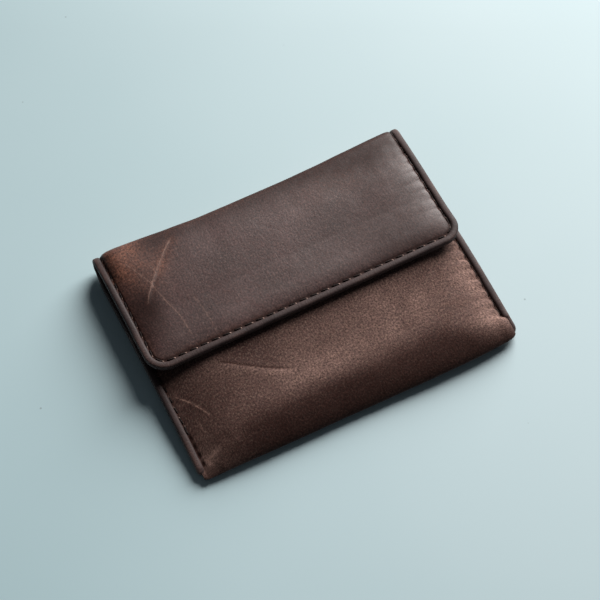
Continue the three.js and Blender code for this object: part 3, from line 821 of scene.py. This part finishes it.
def hide_leather():
    """Waxed pull-up leather: smooth and cool on the flap, buffed and speckled where nap is 1."""
    g = Graph("pull_up_leather")
    place, nap = g.place(), g.attribute("nap")
    pale, scratch, rub_and_painted_shade = g.attribute("pale"), g.attribute("scratch"), g.attribute("rub_and_painted_shade")
    clouds = g.noise(place, 16, 4, 0.55)
    mottle = g.noise(place, 3.2, 4, 0.65)
    fibre = g.noise(g.stretched(place, (1.0, 0.45, 1.0)), 0.7, 3, 0.65)
    speck = g.noise(place, 0.6, 3, 0.75)
    flecks = g.noise(g.stretched(place, (1.3, 0.8, 1.0)), 0.62, 2, 0.7)

    smooth = g.blend(g.between(clouds, 0.35, 0.68), srgb(64, 43, 41), srgb(88, 63, 61))
    buffed = g.blend(g.between(clouds, 0.35, 0.68), srgb(73, 47, 42), srgb(95, 68, 61))
    base = g.blend(nap, smooth, buffed)
    base = g.blend(g.between(mottle, 0.35, 0.7, 0, 0.4), base, srgb(56, 31, 25))
    tan = g.blend(nap, srgb(144, 92, 72), srgb(143, 113, 104))
    share = g.times(pale, g.between(mottle, 0.32, 0.68, 0.6, 1.25))
    share = g.times(share, g.between(speck, 0.38, 0.62, 0.6, 1.35))
    # Pale pull-up wear, with painted highlights on the front's right corner and below the flap's front edge.
    base = g.blend(g.math("MINIMUM", share, 0.9), base, tan)
    # Dark rub and painted shade: this dark red-brown darkens ditches, needle holes, the front crease, the
    # bottom roll and parts of the flap.
    base = g.blend(g.math("MINIMUM", rub_and_painted_shade, 0.92), base, srgb(44, 22, 17))

    base = g.shaded(base, g.between(fibre, 0.35, 0.65, 0.84, 1.16))
    grain = g.blend(nap, g.between(speck, 0.36, 0.64, 0.54, 1.5), g.between(speck, 0.36, 0.64, 0.48, 1.5))
    base = g.shaded(base, grain)
    glint = g.times(g.between(flecks, 0.52, 0.68), g.between(rub_and_painted_shade, 0, 0.9, 0.42, 0.06))
    fleck = g.blend(share, g.blend(nap, srgb(140, 108, 98), srgb(164, 137, 120)), srgb(188, 146, 122))
    base = g.blend(glint, base, fleck)

    wobble = g.between(g.noise(place, 0.9, 3, 0.7), 0.2, 0.8, -0.28, 0.28)
    off_line = g.math("ABSOLUTE", g.math("ADD", g.attribute("scratch_at"), wobble))
    hairline = g.between(off_line, 0.02, 0.2, 1, 0)
    halo = g.between(off_line, 0.1, 0.6, 0.22, 0)
    broken = g.between(g.noise(place, 1.3, 2, 0.6), 0.36, 0.6, 0.15, 1)
    mark = g.times(g.math("ADD", hairline, halo), g.times(scratch, broken))
    base = g.blend(g.math("MINIMUM", mark, 0.7), base, srgb(158, 122, 108))

    polish = g.times(g.attribute("pucker"), g.math("SUBTRACT", 1.0, nap))
    rough = g.math("SUBTRACT", g.between(nap, 0, 1, 0.46, 0.74), g.times(polish, 0.18))
    rough = g.math("ADD", rough, g.between(mottle, 0.3, 0.7, -0.06, 0.08))
    rough = g.math("ADD", rough, g.times(share, 0.1))
    rough = g.math("ADD", rough, g.times(rub_and_painted_shade, 0.12), clamp=True)
    fine = g.times(speck, g.between(nap, 0, 1, 0.5, 1.5))
    normal = g.bump(fine, 0.11, 0.6)
    normal = g.bump(fibre, 0.1, 0.4, normal)
    normal = g.bump(g.noise(place, 2.2, 3, 0.55), 0.16, 0.35, normal)
    wrinkle = g.noise(g.stretched(place, (0.2, 1.0, 1.0)), 1.25, 2, 0.5)
    normal = g.bump(g.times(wrinkle, g.attribute("pucker")), 0.22, 0.5, normal)
    sheen = g.between(nap, 0, 1, 0.0, 0.12)
    gloss = g.times(g.between(nap, 0, 1, 0.48, 0.22), g.between(rub_and_painted_shade, 0, 1, 1, 0.45))
    return g.finish(base, rough, normal, Sheen_Weight=sheen, Sheen_Roughness=0.45,
                    Specular_IOR_Level=gloss)


def binding_leather():
    """The rolled strip on the edges: darker, even and slightly glossy, with fine wrinkles across."""
    g = Graph("binding_leather")
    place = g.place()
    clouds = g.noise(place, 9, 3, 0.6)
    speck = g.noise(place, 0.45, 2, 0.6)
    wrinkle = g.noise(g.stretched(place, (0.35, 1.6, 1.0)), 1.1, 2, 0.5)
    base = g.blend(g.between(clouds, 0.35, 0.68), srgb(46, 31, 30), srgb(68, 50, 48))
    worn = g.times(g.attribute("pale"), g.between(speck, 0.35, 0.65, 0.4, 1.2))
    base = g.blend(g.math("MINIMUM", worn, 0.8), base, srgb(116, 87, 80))
    base = g.shaded(base, g.between(speck, 0.3, 0.7, 0.82, 1.18))
    rough = g.between(clouds, 0.3, 0.7, 0.54, 0.7)
    normal = g.bump(speck, 0.09, 0.6)
    normal = g.bump(wrinkle, 0.12, 0.5, normal)
    return g.finish(base, rough, normal, Specular_IOR_Level=0.34, Sheen_Weight=0.05)


def thread_material():
    """Waxed twisted thread: fine slanted strands, a little gloss, and a painted highlight on the pale tip of
    each stitch.
    """
    g = Graph("waxed_thread")
    place = g.place()
    strands = g.wave(place, 900.0, 1.5, bands_direction="DIAGONAL")
    base = g.blend(strands, srgb(20, 11, 10), srgb(36, 22, 19))
    # Painted highlight: the pale tip of each stitch.
    base = g.blend(g.attribute("pale"), base, srgb(176, 146, 134))
    return g.finish(base, 0.7, g.bump(strands, 0.05, 0.6), Specular_IOR_Level=0.2)


def lining_fabric():
    """Close plain weave with a little slub."""
    g = Graph("lining_weave")
    place = g.place()
    warp, weft = (g.wave(place, 330.0, 0.8, bands_direction=axis) for axis in "XY")
    weave = g.times(warp, weft)
    slub = g.noise(g.stretched(place, (0.2, 1.0, 1.0)), 1.6, 2, 0.6)
    base = g.blend(weave, srgb(48, 35, 29), srgb(78, 59, 50))
    base = g.blend(g.between(slub, 0.5, 0.75, 0, 0.25), base, srgb(88, 69, 58))
    return g.finish(base, 0.9, g.bump(weave, 0.08, 0.7), Sheen_Weight=0.08, Specular_IOR_Level=0.15)


def board_material():
    """Bonded leather board: grey-brown chips pressed together."""
    g = Graph("bonded_board")
    place = g.object_place()
    chips = g.cells(place, 1.3)
    base = g.blend(g.between(chips, 0.1, 0.7), srgb(128, 112, 94), srgb(166, 150, 130))
    base = g.blend(g.between(g.noise(place, 0.4, 2, 0.6), 0.45, 0.7), base, srgb(98, 84, 70))
    return g.finish(base, 0.88, g.bump(chips, 0.06, 0.6))


def magnet_material():
    """Nickel plate with fine turning rings and dulled spots."""
    g = Graph("nickel_plate")
    place = g.object_place()
    dull = g.noise(place, 1.5, 3, 0.6)
    rings = g.wave(place, 1500.0, 0.3, wave_type="RINGS", rings_direction="Z")
    base = g.blend(g.between(dull, 0.4, 0.7), srgb(196, 196, 194), srgb(150, 148, 144))
    rough = g.between(dull, 0.35, 0.7, 0.2, 0.42)
    return g.finish(base, rough, g.bump(rings, 0.01, 0.4), Metallic=1.0)


HIDE = hide_leather()
STRIP = binding_leather()
THREAD = thread_material()
WEAVE = lining_fabric()
BOARD_LOOK = board_material()
NICKEL = magnet_material()


# ---- Hide -------------------------------------------------------------------------

def leather_depth(zone, x, y):
    if zone == "flap":
        full = swell(x, FLAP_LINE) * front_rise(y)
    elif zone == "front":
        full = swell(x, SEAM_LINE) * (1 - ramp(y, 17, 20.5))
    else:
        full = swell(x, SEAM_LINE)
    return mix(SKIVED, LEATHER, full)


def board_cover(zone, x, y):
    """1 over a stiffening board, fading to 0 beside it."""
    if zone == "flap":
        (front, rear), front_fade = FLAP_BOARD, 1.6
    elif zone == "front":
        (front, rear), front_fade = FRONT_BOARD, 6.0
    else:
        return 0 * x
    side = 1 - ease((np.abs(x) - BOARD_HALF - 1) / 7)
    along = ease((y - front + 0.1) / front_fade + 1) * (1 - ease((y - rear - 1) / 5))
    return side * along


def lining_depth(zone, x, y):
    return leather_depth(zone, x, y) + GAP + (BOARD + GAP) * board_cover(zone, x, y)


def hide_piece(name, rows, xs, along_start):
    """One part of the hide, with its relief in the mesh and its marks, painted shade and highlights among
    them, as attributes.
    """
    outer = sheet_grid(rows, xs, lambda zone, x, y: 0 * x)
    inner = sheet_grid(rows, xs, leather_depth)
    normal = grid_normals(outer)
    s = path_length(outer) * (1 if along_start >= 0 else -1)
    s = s - s[-1] if along_start < 0 else s
    shape = outer.shape[:2]
    relief, pale, scratch, rub_and_painted_shade, nap, pucker = (np.zeros(shape) for _ in range(6))
    scratch_at = np.full(shape, NO_SCRATCH)
    for r, (zone, _) in enumerate(rows):
        x, y = outer[r, :, 0], outer[r, :, 1]
        if zone in ("flap", "top_crease"):
            relief[r] = flap_relief(x, y)
            pale[r], (scratch_at[r], scratch[r]), rub_and_painted_shade[r] = flap_marks(x, y)
            right = 0.25 + 0.75 * ramp(x, 20, 30) * ramp(y, -1, 4)
            pucker[r] = np.exp(-np.maximum(FLAP_LINE - np.abs(x), 0) / 2.2) * right
            if zone == "top_crease":
                pale[r] += 0.1
        elif zone in ("front", "fold"):
            turn = 1.0 if zone == "front" else ease(outer[r, shape[1] // 2, 2] / 4)
            relief[r] = front_relief(x, y) * turn + plain_relief(x, s[r]) * (1 - turn)
            pale[r], (scratch_at[r], scratch[r]), rub_and_painted_shade[r] = front_marks(x, y)
            pucker[r] = 0.5 * np.exp(-np.maximum(SEAM_LINE - np.abs(x), 0) / 3.0)
            nap[r] = 1.0
        else:
            relief[r] = plain_relief(x, s[r])
            pale[r] = 0.12 + 0.2 * np.clip(cloud(x, s[r] + 0 * x, 9, 91), 0, 1)
            nap[r] = 0.6 if zone == "back" else 0.0
    relief = smooth_rows(relief)
    nap = smooth_rows(nap, 6)
    outer = outer + normal * relief[..., None]
    obj = slab(name, outer, inner, HIDE, {
        "hide": hide_places(outer[..., X], s[:, None]), "pale": pale, "scratch": scratch,
        "scratch_at": scratch_at, "rub_and_painted_shade": rub_and_painted_shade, "nap": nap, "pucker": pucker})
    return obj


def smooth_rows(field, times=3):
    for _ in range(times):
        padded = np.concatenate([field[:1], field, field[-1:]])
        field = (padded[:-2] + 2 * padded[1:-1] + padded[2:]) / 4
    return field


def bend_over_bottom_crease(obj):
    """Bakes the piece's placement into its mesh."""
    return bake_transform(obj)


def bend_over_top_crease(obj):
    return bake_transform(obj)


def build_hide():
    xs = columns(FLAP_EDGE, FLAP_LINE, FINE)
    flap = hide_piece("hide_flap", flap_rows(FINE), xs, -1)
    bend_over_top_crease(flap)
    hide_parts("flap_leather", "spine_leather")
    pouch = hide_piece("hide_pouch", pouch_rows(FINE, COARSE), xs, 1)
    bend_over_bottom_crease(pouch)
    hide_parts("pouch_leather")


# ---- Lining, card slot and boards ---------------------------------------------------

def lining_sheet(name, rows, xs):
    outer = sheet_grid(rows, xs, lining_depth, lined)
    inner = sheet_grid(rows, xs, lambda zone, x, y: lining_depth(zone, x, y) + LINING, lined)
    s = path_length(outer)
    ripple = 0.05 * cloud(outer[..., 0], s[:, None] + 0 * outer[..., 0], 7, 101)
    inner = inner - grid_normals(outer) * (np.maximum(ripple, 0) * 0.8)[..., None]
    marks = {"hide": hide_places(outer[..., X], s[:, None])}
    return slab(name, outer, inner, WEAVE, marks)


def build_lining():
    xs = columns(FLAP_EDGE, FLAP_LINE, COARSE)
    flap = lining_sheet("lining_flap", flap_rows(COARSE * 0.6), xs)
    bend_over_top_crease(flap)
    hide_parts("flap_lining", "spine_lining")
    pouch = lining_sheet("lining_pouch", pouch_rows(COARSE * 0.6, COARSE), xs)
    bend_over_bottom_crease(pouch)
    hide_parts("pouch_lining")


def back_lining_z(x, y):
    return back_z(x, y) + mix(SKIVED, LEATHER, swell(x, SEAM_LINE)) + GAP + LINING


def card_slot():
    """The inner pocket panel: thin leather with turned, slightly raised rear edge."""
    half = LINING_EDGE - 3
    xs = spaced(-half, half, 2 * half, COARSE)
    ys = spaced(SLOT_FRONT_Y, SLOT_REAR_Y, SLOT_REAR_Y - SLOT_FRONT_Y, COARSE)
    x, y = np.meshgrid(xs, ys)
    lip = 0.18 * hump(y - SLOT_REAR_Y + 0.9, 0.9)
    low = back_lining_z(x, y) + GAP
    high = low + SLOT_PANEL + lip + 0.06 * (1 + cloud(x, y, 9, 111))
    marks = {"hide": hide_places(x, y), "pale": 0.25 * np.clip(cloud(x, y, 6, 112), 0, 1),
             "scratch": 0 * x, "scratch_at": 0 * x + NO_SCRATCH, "rub_and_painted_shade": 0.3 * hump(y - SLOT_REAR_Y, 1.2),
             "nap": 0 * x + 0.4, "pucker": 0 * x}
    panel = slab("card_slot", np.stack([x, y, high], 2), np.stack([x, y, low], 2), HIDE, marks)
    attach(panel, "pouch")
    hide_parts("card_slot_panel")


def board(name, surface, full, ends, body, node):
    """A stiffening board under the leather, with a round hole for its magnet."""
    middle = (ends[0] + ends[1]) / 2
    turns = np.linspace(0, 2 * math.pi, 97)[:-1]
    across, along = rounded(turns, 6.0)
    wide, deep = across * BOARD_HALF, middle + along * (ends[1] - ends[0]) / 2
    hole_x, hole_y = MAGNET_HOLE * np.cos(turns), MAGNET_Y + MAGNET_HOLE * np.sin(turns)
    shares = np.linspace(0, 1, 12)
    x = np.stack([mix(hole_x, wide, s) for s in shares], 1)
    y = np.stack([mix(hole_y, deep, s) for s in shares], 1)
    top = surface(x, y) - mix(SKIVED, LEATHER, full(x, y)) - GAP
    chamfer = 0.1 * ((shares == 0) | (shares == 1))
    upper = np.stack([x, y, top - chamfer], 2)
    lower = np.stack([x, y, top - BOARD + chamfer], 2)
    ring = np.concatenate([upper, lower[:, ::-1]], 1)
    faces = grid_faces(*ring.shape[:2], True, True)
    piece = outward(mesh(name, ring.reshape(-1, 3), faces.tolist(), BOARD_LOOK))
    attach(piece, body)
    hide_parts(node)


def build_inside():
    card_slot()
    board("board_front", front_z, lambda x, y: swell(x, SEAM_LINE), FRONT_BOARD, "pouch", "front_stiffener")
    flap_full = lambda x, y: swell(x, FLAP_LINE) * front_rise(y)
    board("board_flap", flap_z, flap_full, FLAP_BOARD, "flap", "flap_stiffener")
    for node in ("pouch_magnet", "flap_magnet"):
        data = bpy.data.objects[node].data
        data.materials.clear()
        data.materials.append(NICKEL)


# ---- Bound and stitched edges --------------------------------------------------------

class Rail:
    """A line along an edge at the middle of its layers, and the distance along it."""

    def __init__(self, points, normals):
        self.points = np.asarray(points, float)
        self.normals = np.asarray(normals, float)
        steps = np.linalg.norm(np.diff(self.points, axis=0), axis=1)
        self.along = np.concatenate([[0], np.cumsum(steps)])

    def measured_from(self, origin):
        self.along = self.along - origin
        return self

    def measured_from_middle(self):
        return self.measured_from(self.along[-1] / 2)

    def sample(self, s, table):
        return np.stack([np.interp(s, self.along, table[:, k]) for k in range(3)], -1)

    def frame(self, s):
        """Point, direction along, direction out of the layers and direction out of the edge."""
        s = np.asarray(s, float)
        middle = self.sample(s, self.points)
        tangent = self.sample(s + 0.15, self.points) - self.sample(s - 0.15, self.points)
        tangent /= np.linalg.norm(tangent, axis=-1, keepdims=True)
        normal = self.sample(s, self.normals)
        normal = normal - tangent * np.sum(tangent * normal, -1, keepdims=True)
        normal /= np.linalg.norm(normal, axis=-1, keepdims=True)
        return middle, tangent, normal, np.cross(tangent, normal)


def flap_rail(inset):
    """From the middle of the spine on the left round the flap's front to the same on the right."""
    corner_y, straight = FLAP_FRONT_Y + FLAP_CORNER, FLAP_HALF - FLAP_CORNER
    radius = FLAP_CORNER - inset
    right = [(x, FLAP_FRONT_Y + inset) for x in spaced(0, straight, straight, 0.5)]
    for turn in spaced(0, math.pi / 2, 8, 0.3)[1:]:
        right.append((straight + radius * math.sin(turn), corner_y - radius * math.cos(turn)))
    rear_y = REAR_Y - CREASE_RADIUS
    right += [(FLAP_HALF - inset, y) for y in spaced(corner_y, rear_y, rear_y - corner_y, 0.5)[1:]]
    points = [(x, y, float(flap_edge_z(y)) - EDGE_STACK / 2) for x, y in right]
    normals = [(0, 0, 1)] * len(points)
    centre_z = float(flap_edge_z(rear_y)) - CREASE_RADIUS
    reach = CREASE_RADIUS - EDGE_STACK / 2
    for turn in np.radians(spaced(90, 0, 4, 0.25))[1:]:
        cos, sin = math.cos(turn), math.sin(turn)
        points.append((FLAP_HALF - inset, rear_y + reach * cos, centre_z + reach * sin))
        normals.append((0, cos, sin))
    low_z = float(seam_height(rear_y)) - SEAM_STACK / 2 + CREASE_RADIUS
    points.append((FLAP_HALF - inset, rear_y + reach, (centre_z + low_z) / 2))
    normals.append((0, 1, 0))
    left = [(-x, y, z) for x, y, z in points[:0:-1]]
    return Rail(left + points, normals[:0:-1] + normals).measured_from_middle()


def pouch_rail(inset, wraps):
    """The right seam from the front corner to the middle of the spine. normal points inwards."""
    rear_y = REAR_Y - CREASE_RADIUS
    x = HALF_WIDTH - inset
    front = []
    if wraps:
        corner, front_y = 1.9, -HALF_DEPTH + (0.6 if wraps == "round" else 0.2)
        first_turn = math.radians(28 if wraps == "round" else 72)
        for turn in np.linspace(first_turn, math.pi / 2, 9):
            front.append((x - corner * (1 - math.sin(turn)), front_y + corner * (1 - math.cos(turn))))
    start = front[-1][1] if wraps else SEAM_END_Y - 4
    flat = front + [(x, y) for y in spaced(start, rear_y, rear_y - start, 0.5)[1:]]
    top_of_back = float(seam_height(rear_y)) - SEAM_STACK / 2
    reach = CREASE_RADIUS - EDGE_STACK / 2
    points, normals = [], []
    for px, py in flat:
        single = ramp(py, 24, 32)
        z = float(seam_height(py)) - single * (SEAM_STACK - EDGE_STACK) / 2
        narrow = (HALF_WIDTH - FLAP_HALF) * ramp(py, 30, 38)
        points.append((px - narrow, py, z))
        normals.append((0, 0, 1))
    side_x = points[-1][0]
    for turn in np.radians(spaced(-90, 0, 4, 0.25))[1:]:
        cos, sin = math.cos(turn), math.sin(turn)
        y = rear_y + reach * cos
        side_x = min(side_x, x - (HALF_WIDTH - FLAP_HALF) * ramp(y, 30, 37))
        points.append((side_x, y, top_of_back + CREASE_RADIUS + reach * sin))
        normals.append((0, -cos, -sin))
    high_z = float(flap_edge_z(rear_y)) - CREASE_RADIUS
    points.append((FLAP_HALF - inset, rear_y + reach, (top_of_back + CREASE_RADIUS + high_z) / 2))
    normals.append((0, -1, 0))
    first = next(k for k, p in enumerate(points) if p[1] >= SEAM_END_Y and p[0] > x - 1.0)
    rail = Rail(points, normals)
    return rail.measured_from(rail.along[first] - (points[first][1] - SEAM_END_Y))


def mouth_rail(inset):
    xs = spaced(SEAM_LINE - 1.2, 1.2 - SEAM_LINE, 2 * SEAM_LINE, 0.5)
    y = MOUTH_Y - inset
    points = [(x, y, float(front_z(x, y)) - EDGE_STACK / 2) for x in xs]
    return Rail(points, [(0, 0, 1)] * len(points)).measured_from_middle()


def bead(name, rail, start, stop, half, pocket, width, seed, mirror=1, wear=lambda s: 0 * s, tapered=False):
    """A rolled strip along a rail. half, pocket and width are given for each distance along."""
    pitch = 0.4
    s = spaced(start, stop, stop - start, pitch)
    middle, _, normal, out = rail.frame(s)
    calm = ramp(s, start, start + 4) * ramp(s, stop, stop - 4)
    uneven = 0.045 * cloud(s, 0 * s, 7, seed) + 0.03 * cloud(s, 0 * s, 2.4, seed + 1)
    thick = half(s) * (1 + uneven * calm)
    broad = width(s) * (1 + 0.04 * cloud(s, 0 * s, 5, seed + 2) * calm)
    turns = np.radians(np.linspace(158, -158, 23))
    across, above = rounded(turns, 2.8)
    from_end = np.minimum(s - start, stop - s) / 1.2
    ends = 0.55 + 0.45 * np.sqrt(np.clip(from_end, 0, 1)) if tapered else 1 + 0 * s
    centre = SHEET_INSET - broad[:, None] / 2
    a = centre + (broad * ends)[:, None] / 2 * across
    b = thick[:, None] * above
    slot = pocket(s)[:, None]
    deep = np.maximum(a.min(1, keepdims=True) + 0.3, 0.05)
    inner = a[:, :1]
    a = np.concatenate([a, inner, deep, deep, inner], 1)
    b = np.concatenate([b, -slot, -slot, slot, slot], 1)
    loops = middle[:, None] + out[:, None] * a[..., None] + normal[:, None] * b[..., None]
    loops[..., 0] *= mirror
    points, faces = [], []
    tube(points, faces, loops)
    girth = np.linspace(0, 9, a.shape[1])
    worn = 0.5 * np.clip(cloud(s, 0 * s, 6, seed + 5), 0, 1) + wear(s)
    worn = worn[:, None] * np.exp(-((turns - 1.0) ** 2) / 0.5)
    worn = np.concatenate([worn, np.zeros((len(s), 4))], 1)
    marks = {"hide": hide_places(girth, s[:, None]), "pale": worn.ravel()}
    piece = outward(mesh(name, points[0], faces, STRIP, marks, 50))
    return piece


def stitch_row(rows, rail, centres, offset, face, light, slant=0.17, mirror=1):
    """Adds one thread bridge per centre. face is 1 on the rail's normal side and -1 on the other."""
    shares = np.linspace(-1, 1, 13)
    turns = np.linspace(0, 2 * math.pi, 11)[:-1]
    rng = np.random.default_rng(int(abs(centres[0]) * 100) + 7)
    for s0 in centres:
        length = STITCH_LENGTH * rng.uniform(0.94, 1.03) / 2
        s = s0 + shares * length
        middle, _, normal, out = rail.frame(s)
        lean = slant * rng.uniform(0.7, 1.3)
        lift = offset(s) + mix(-0.34, 0.13 + rng.uniform(-0.03, 0.03), 1 - np.abs(shares) ** 3.2)
        core = middle + out * (lean * shares)[:, None] + normal * (face * lift)[:, None]
        radius = THREAD_RADIUS * (1 - 0.25 * np.abs(shares) ** 4)
        ring = out[:, None] * np.cos(turns)[:, None] + normal[:, None] * (0.85 * np.sin(turns))[:, None]
        loops = core[:, None] + ring * radius[:, None, None]
        loops[..., 0] *= mirror
        tube(rows["points"], rows["faces"], loops)
        # Painted highlight: each stitch's tip is coloured pale as if lit where it comes out of its hole.
        bright = light(s0, rng) * ramp(shares, 0.6, 0.75)
        rows["hide"].append(hide_places(turns * THREAD_RADIUS, s[:, None] + s0))
        rows["pale"].append(np.repeat(bright, len(turns)))


def both_faces(rows, rail, centres, offset, light, mirror=1):
    for face in (1, -1):
        stitch_row(rows, rail, centres, offset, face, light, mirror=mirror)


def stitches(name, rows):
    marks = {"hide": np.concatenate(rows["hide"]), "pale": np.concatenate(rows["pale"])}
    piece = outward(mesh(name, np.concatenate(rows["points"]), rows["faces"], THREAD, marks))
    return piece


def empty_rows():
    return {"points": [], "faces": [], "hide": [], "pale": []}


def fixed(value):
    return lambda s: np.full(np.shape(s), float(value))


def between_holes(start, stop):
    first = math.ceil(start / STITCH_PITCH)
    last = math.floor(stop / STITCH_PITCH)
    return [(k + 0.5) * STITCH_PITCH for k in range(first, last)]


def rear_wall(s, end):
    """How thick the strip is over the layers. It thins where it goes round the rear crease."""
    return BEAD_WALL * mix(1, REAR_THINNING, ramp(s - end, -9, -5))


def build_flap_edge():
    rail = flap_rail(SHEET_INSET)
    end = rail.along[-1]
    half = lambda s: EDGE_STACK / 2 + rear_wall(np.abs(s), end)
    pocket, width = fixed(EDGE_STACK / 2 + POCKET_PLAY), fixed(BEAD_WIDTH)
    strip = bead("bead_flap", rail, -end, end, half, pocket, width, 201)
    bend_over_top_crease(strip)
    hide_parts("flap_binding")
    seam = flap_rail(STITCH_INSET)
    rows = empty_rows()
    centres = between_holes(-seam.along[-1] + 0.5, seam.along[-1] - 0.5)
    glint = lambda s, rng: rng.uniform(0.3, 0.6) if s > 45 else rng.uniform(0.62, 1.0)
    both_faces(rows, seam, centres, fixed(EDGE_STACK / 2), glint)
    row = stitches("stitches_flap", rows)
    bend_over_top_crease(row)
    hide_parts("flap_thread")


def build_pouch_edge(side, label):
    """A side seam's strip, which wraps the fold's end; on the right it thins to a narrow rim past the last
    stitch.
    """
    rail = pouch_rail(SHEET_INSET, "round" if side > 0 else "straight")
    start, end = rail.along[0] + 0.05, rail.along[-1]

    def rim(s):
        return ramp(s, -0.1, -1) if side > 0 else 0 * s

    def stack(s):
        return mix(SEAM_STACK, EDGE_STACK, ramp(s + SEAM_END_Y, 24, 32))

    def half(s):
        full = stack(s) / 2 + rear_wall(s, end)
        return mix(full, 0.95, rim(s)) * (0.3 + 0.7 * np.sqrt(np.clip((s - start) / 1.8, 0, 1)))

    def pocket(s):
        return mix(stack(s) / 2 + POCKET_PLAY, 0.1, ramp(s, -5, -6.5))

    def width(s):
        return mix(BEAD_WIDTH, SEAM_EDGE_WIDTH, rim(s))

    worn = lambda s: 0.75 * ramp(s, 11, 1) if side < 0 else 0 * s
    strip = bead(f"bead_{label}", rail, start, end, half, pocket, width, 211 + side, side, worn, True)
    bend_over_bottom_crease(strip)
    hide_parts(f"{label}_pouch_binding", f"{label}_spine_binding")
    seam = pouch_rail(STITCH_INSET, False)
    rows = empty_rows()
    offset = lambda s: stack(s) / 2
    centres = between_holes(0, seam.along[-1] - 0.5)
    shown = centres[2:] if side < 0 else centres
    glint = lambda s, rng: rng.uniform(0.2, 0.9) if side < 0 else 0.1
    both_faces(rows, seam, shown, offset, glint, side)
    stitch_row(rows, seam, [shown[0] + 0.5], lambda s: offset(s) + 0.12, 1, glint, -0.3, side)
    row = stitches(f"stitches_{label}", rows)
    bend_over_bottom_crease(row)
    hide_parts(f"{label}_pouch_thread", f"{label}_spine_thread")


def build_mouth_edge():
    rail = mouth_rail(SHEET_INSET)
    end = rail.along[-1]
    half = lambda s: (EDGE_STACK / 2 + BEAD_WALL) * mix(0.7, 1, ease((end - np.abs(s)) / 5))
    pocket, width = fixed(EDGE_STACK / 2 + POCKET_PLAY), fixed(BEAD_WIDTH)
    strip = bead("bead_mouth", rail, -end, end, half, pocket, width, 221)
    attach(strip, "pouch")
    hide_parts("mouth_binding")
    seam = mouth_rail(STITCH_INSET)
    rows = empty_rows()
    centres = between_holes(-seam.along[-1] + 3, seam.along[-1] - 3)
    glint = lambda s, rng: rng.uniform(0.3, 0.8)
    both_faces(rows, seam, centres, fixed(EDGE_STACK / 2), glint)
    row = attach(stitches("stitches_mouth", rows), "pouch")
    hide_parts("mouth_thread")


def build_slot_stitches():
    y = SLOT_FRONT_Y + 1.5
    half = LINING_EDGE - 6
    xs = spaced(half, -half, 2 * half, 0.5)
    points = [(x, y, float(back_lining_z(x, y)) + GAP + SLOT_PANEL) for x in xs]
    rail = Rail(points, [(0, 0, 1)] * len(points)).measured_from(half)
    rows = empty_rows()
    centres = between_holes(-half + 1, half - 1)
    stitch_row(rows, rail, centres, fixed(0.08), 1, lambda s, rng: 0.3)
    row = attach(stitches("stitches_slot", rows), "pouch")
    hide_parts("card_slot_thread")


build_hide()
build_lining()
build_inside()
build_flap_edge()
build_pouch_edge(-1, "left")
build_pouch_edge(1, "right")
build_mouth_edge()
build_slot_stitches()


# ---- Stage ------------------------------------------------------------------------

def floor_material():
    g = Graph("pale_table")
    place = g.object_place()
    tone = g.noise(place, 180, 3, 0.5)
    base = g.blend(g.between(tone, 0.35, 0.65), srgb(187, 210, 215), srgb(194, 215, 220))
    # Painted light: the table is coloured brighter towards the front left and darker towards the back right,
    # reshaping the lamp's falloff.
    away = g.along(place, (0.45, 0.89, 0.0))
    base = g.shaded(base, g.between(away, -0.1, 0.1, 1.17, 0.87))
    # Painted light tint: warmer on the right and cooler on the left.
    side = g.along(place, (1.0, 0.0, 0.0))
    painted_light_tint = g.blend(g.between(side, -0.1, 0.1), (0.97, 1.005, 1.01, 1), (1.035, 0.99, 0.985, 1))
    base = g.shaded(base, painted_light_tint)
    dust = g.cells(place, 14)
    base = g.blend(g.between(dust, 0.012, 0.03, 0.5, 0), base, srgb(120, 132, 134))
    return g.finish(base, 0.6, g.bump(g.noise(place, 6, 3, 0.5), 0.02, 0.2))


def build_stage():
    points = [(-1500, -1500, 0), (1500, -1500, 0), (1500, 1500, 0), (-1500, 1500, 0)]
    floor = mesh("floor", np.array(points) + [0, 0, -0.05], [(0, 1, 2, 3)], floor_material())
    world = bpy.data.worlds.new("studio")
    world.use_nodes = True
    world.node_tree.nodes["Background"].inputs["Color"].default_value = (0.80, 0.90, 1.0, 1)
    world.node_tree.nodes["Background"].inputs["Strength"].default_value = 0.055
    bpy.context.scene.world = world
    aim = Vector((0, 0, 5 * MM))
    area_light("key", aim, direction=(0.69, 0.53, 0.50), distance=0.68, size=0.62, power=9.8,
               color=(1.0, 0.99, 0.97))
    bpy.context.scene.view_settings.view_transform = "Standard"


def area_light(name, aim, direction, distance, size, power, color):
    light = bpy.data.lights.new(name, "AREA")
    light.shape = "DISK"
    light.size = size
    light.energy = power
    light.color = color
    lamp = bpy.data.objects.new(name, light)
    lamp.location = aim + Vector(direction).normalized() * distance
    lamp.rotation_euler = (aim - lamp.location).to_track_quat("-Z", "Y").to_euler()
    bpy.context.scene.collection.objects.link(lamp)


def build_camera(azimuth, elevation, aim, distance, lens):
    a, e = math.radians(azimuth), math.radians(elevation)
    back = Vector((math.sin(a) * math.cos(e), -math.cos(a) * math.cos(e), math.sin(e)))
    data = bpy.data.cameras.new("camera")
    data.lens = lens
    data.sensor_width = 36
    camera = bpy.data.objects.new("camera", data)
    camera.location = Vector(aim) + back * distance
    camera.rotation_euler = (-back).to_track_quat("-Z", "Y").to_euler()
    bpy.context.scene.collection.objects.link(camera)
    bpy.context.scene.camera = camera


build_stage()
build_camera(azimuth=-26.85, elevation=62.6, aim=(-1.4 * MM, -0.9 * MM, 4 * MM),
             distance=540 * MM, lens=108)
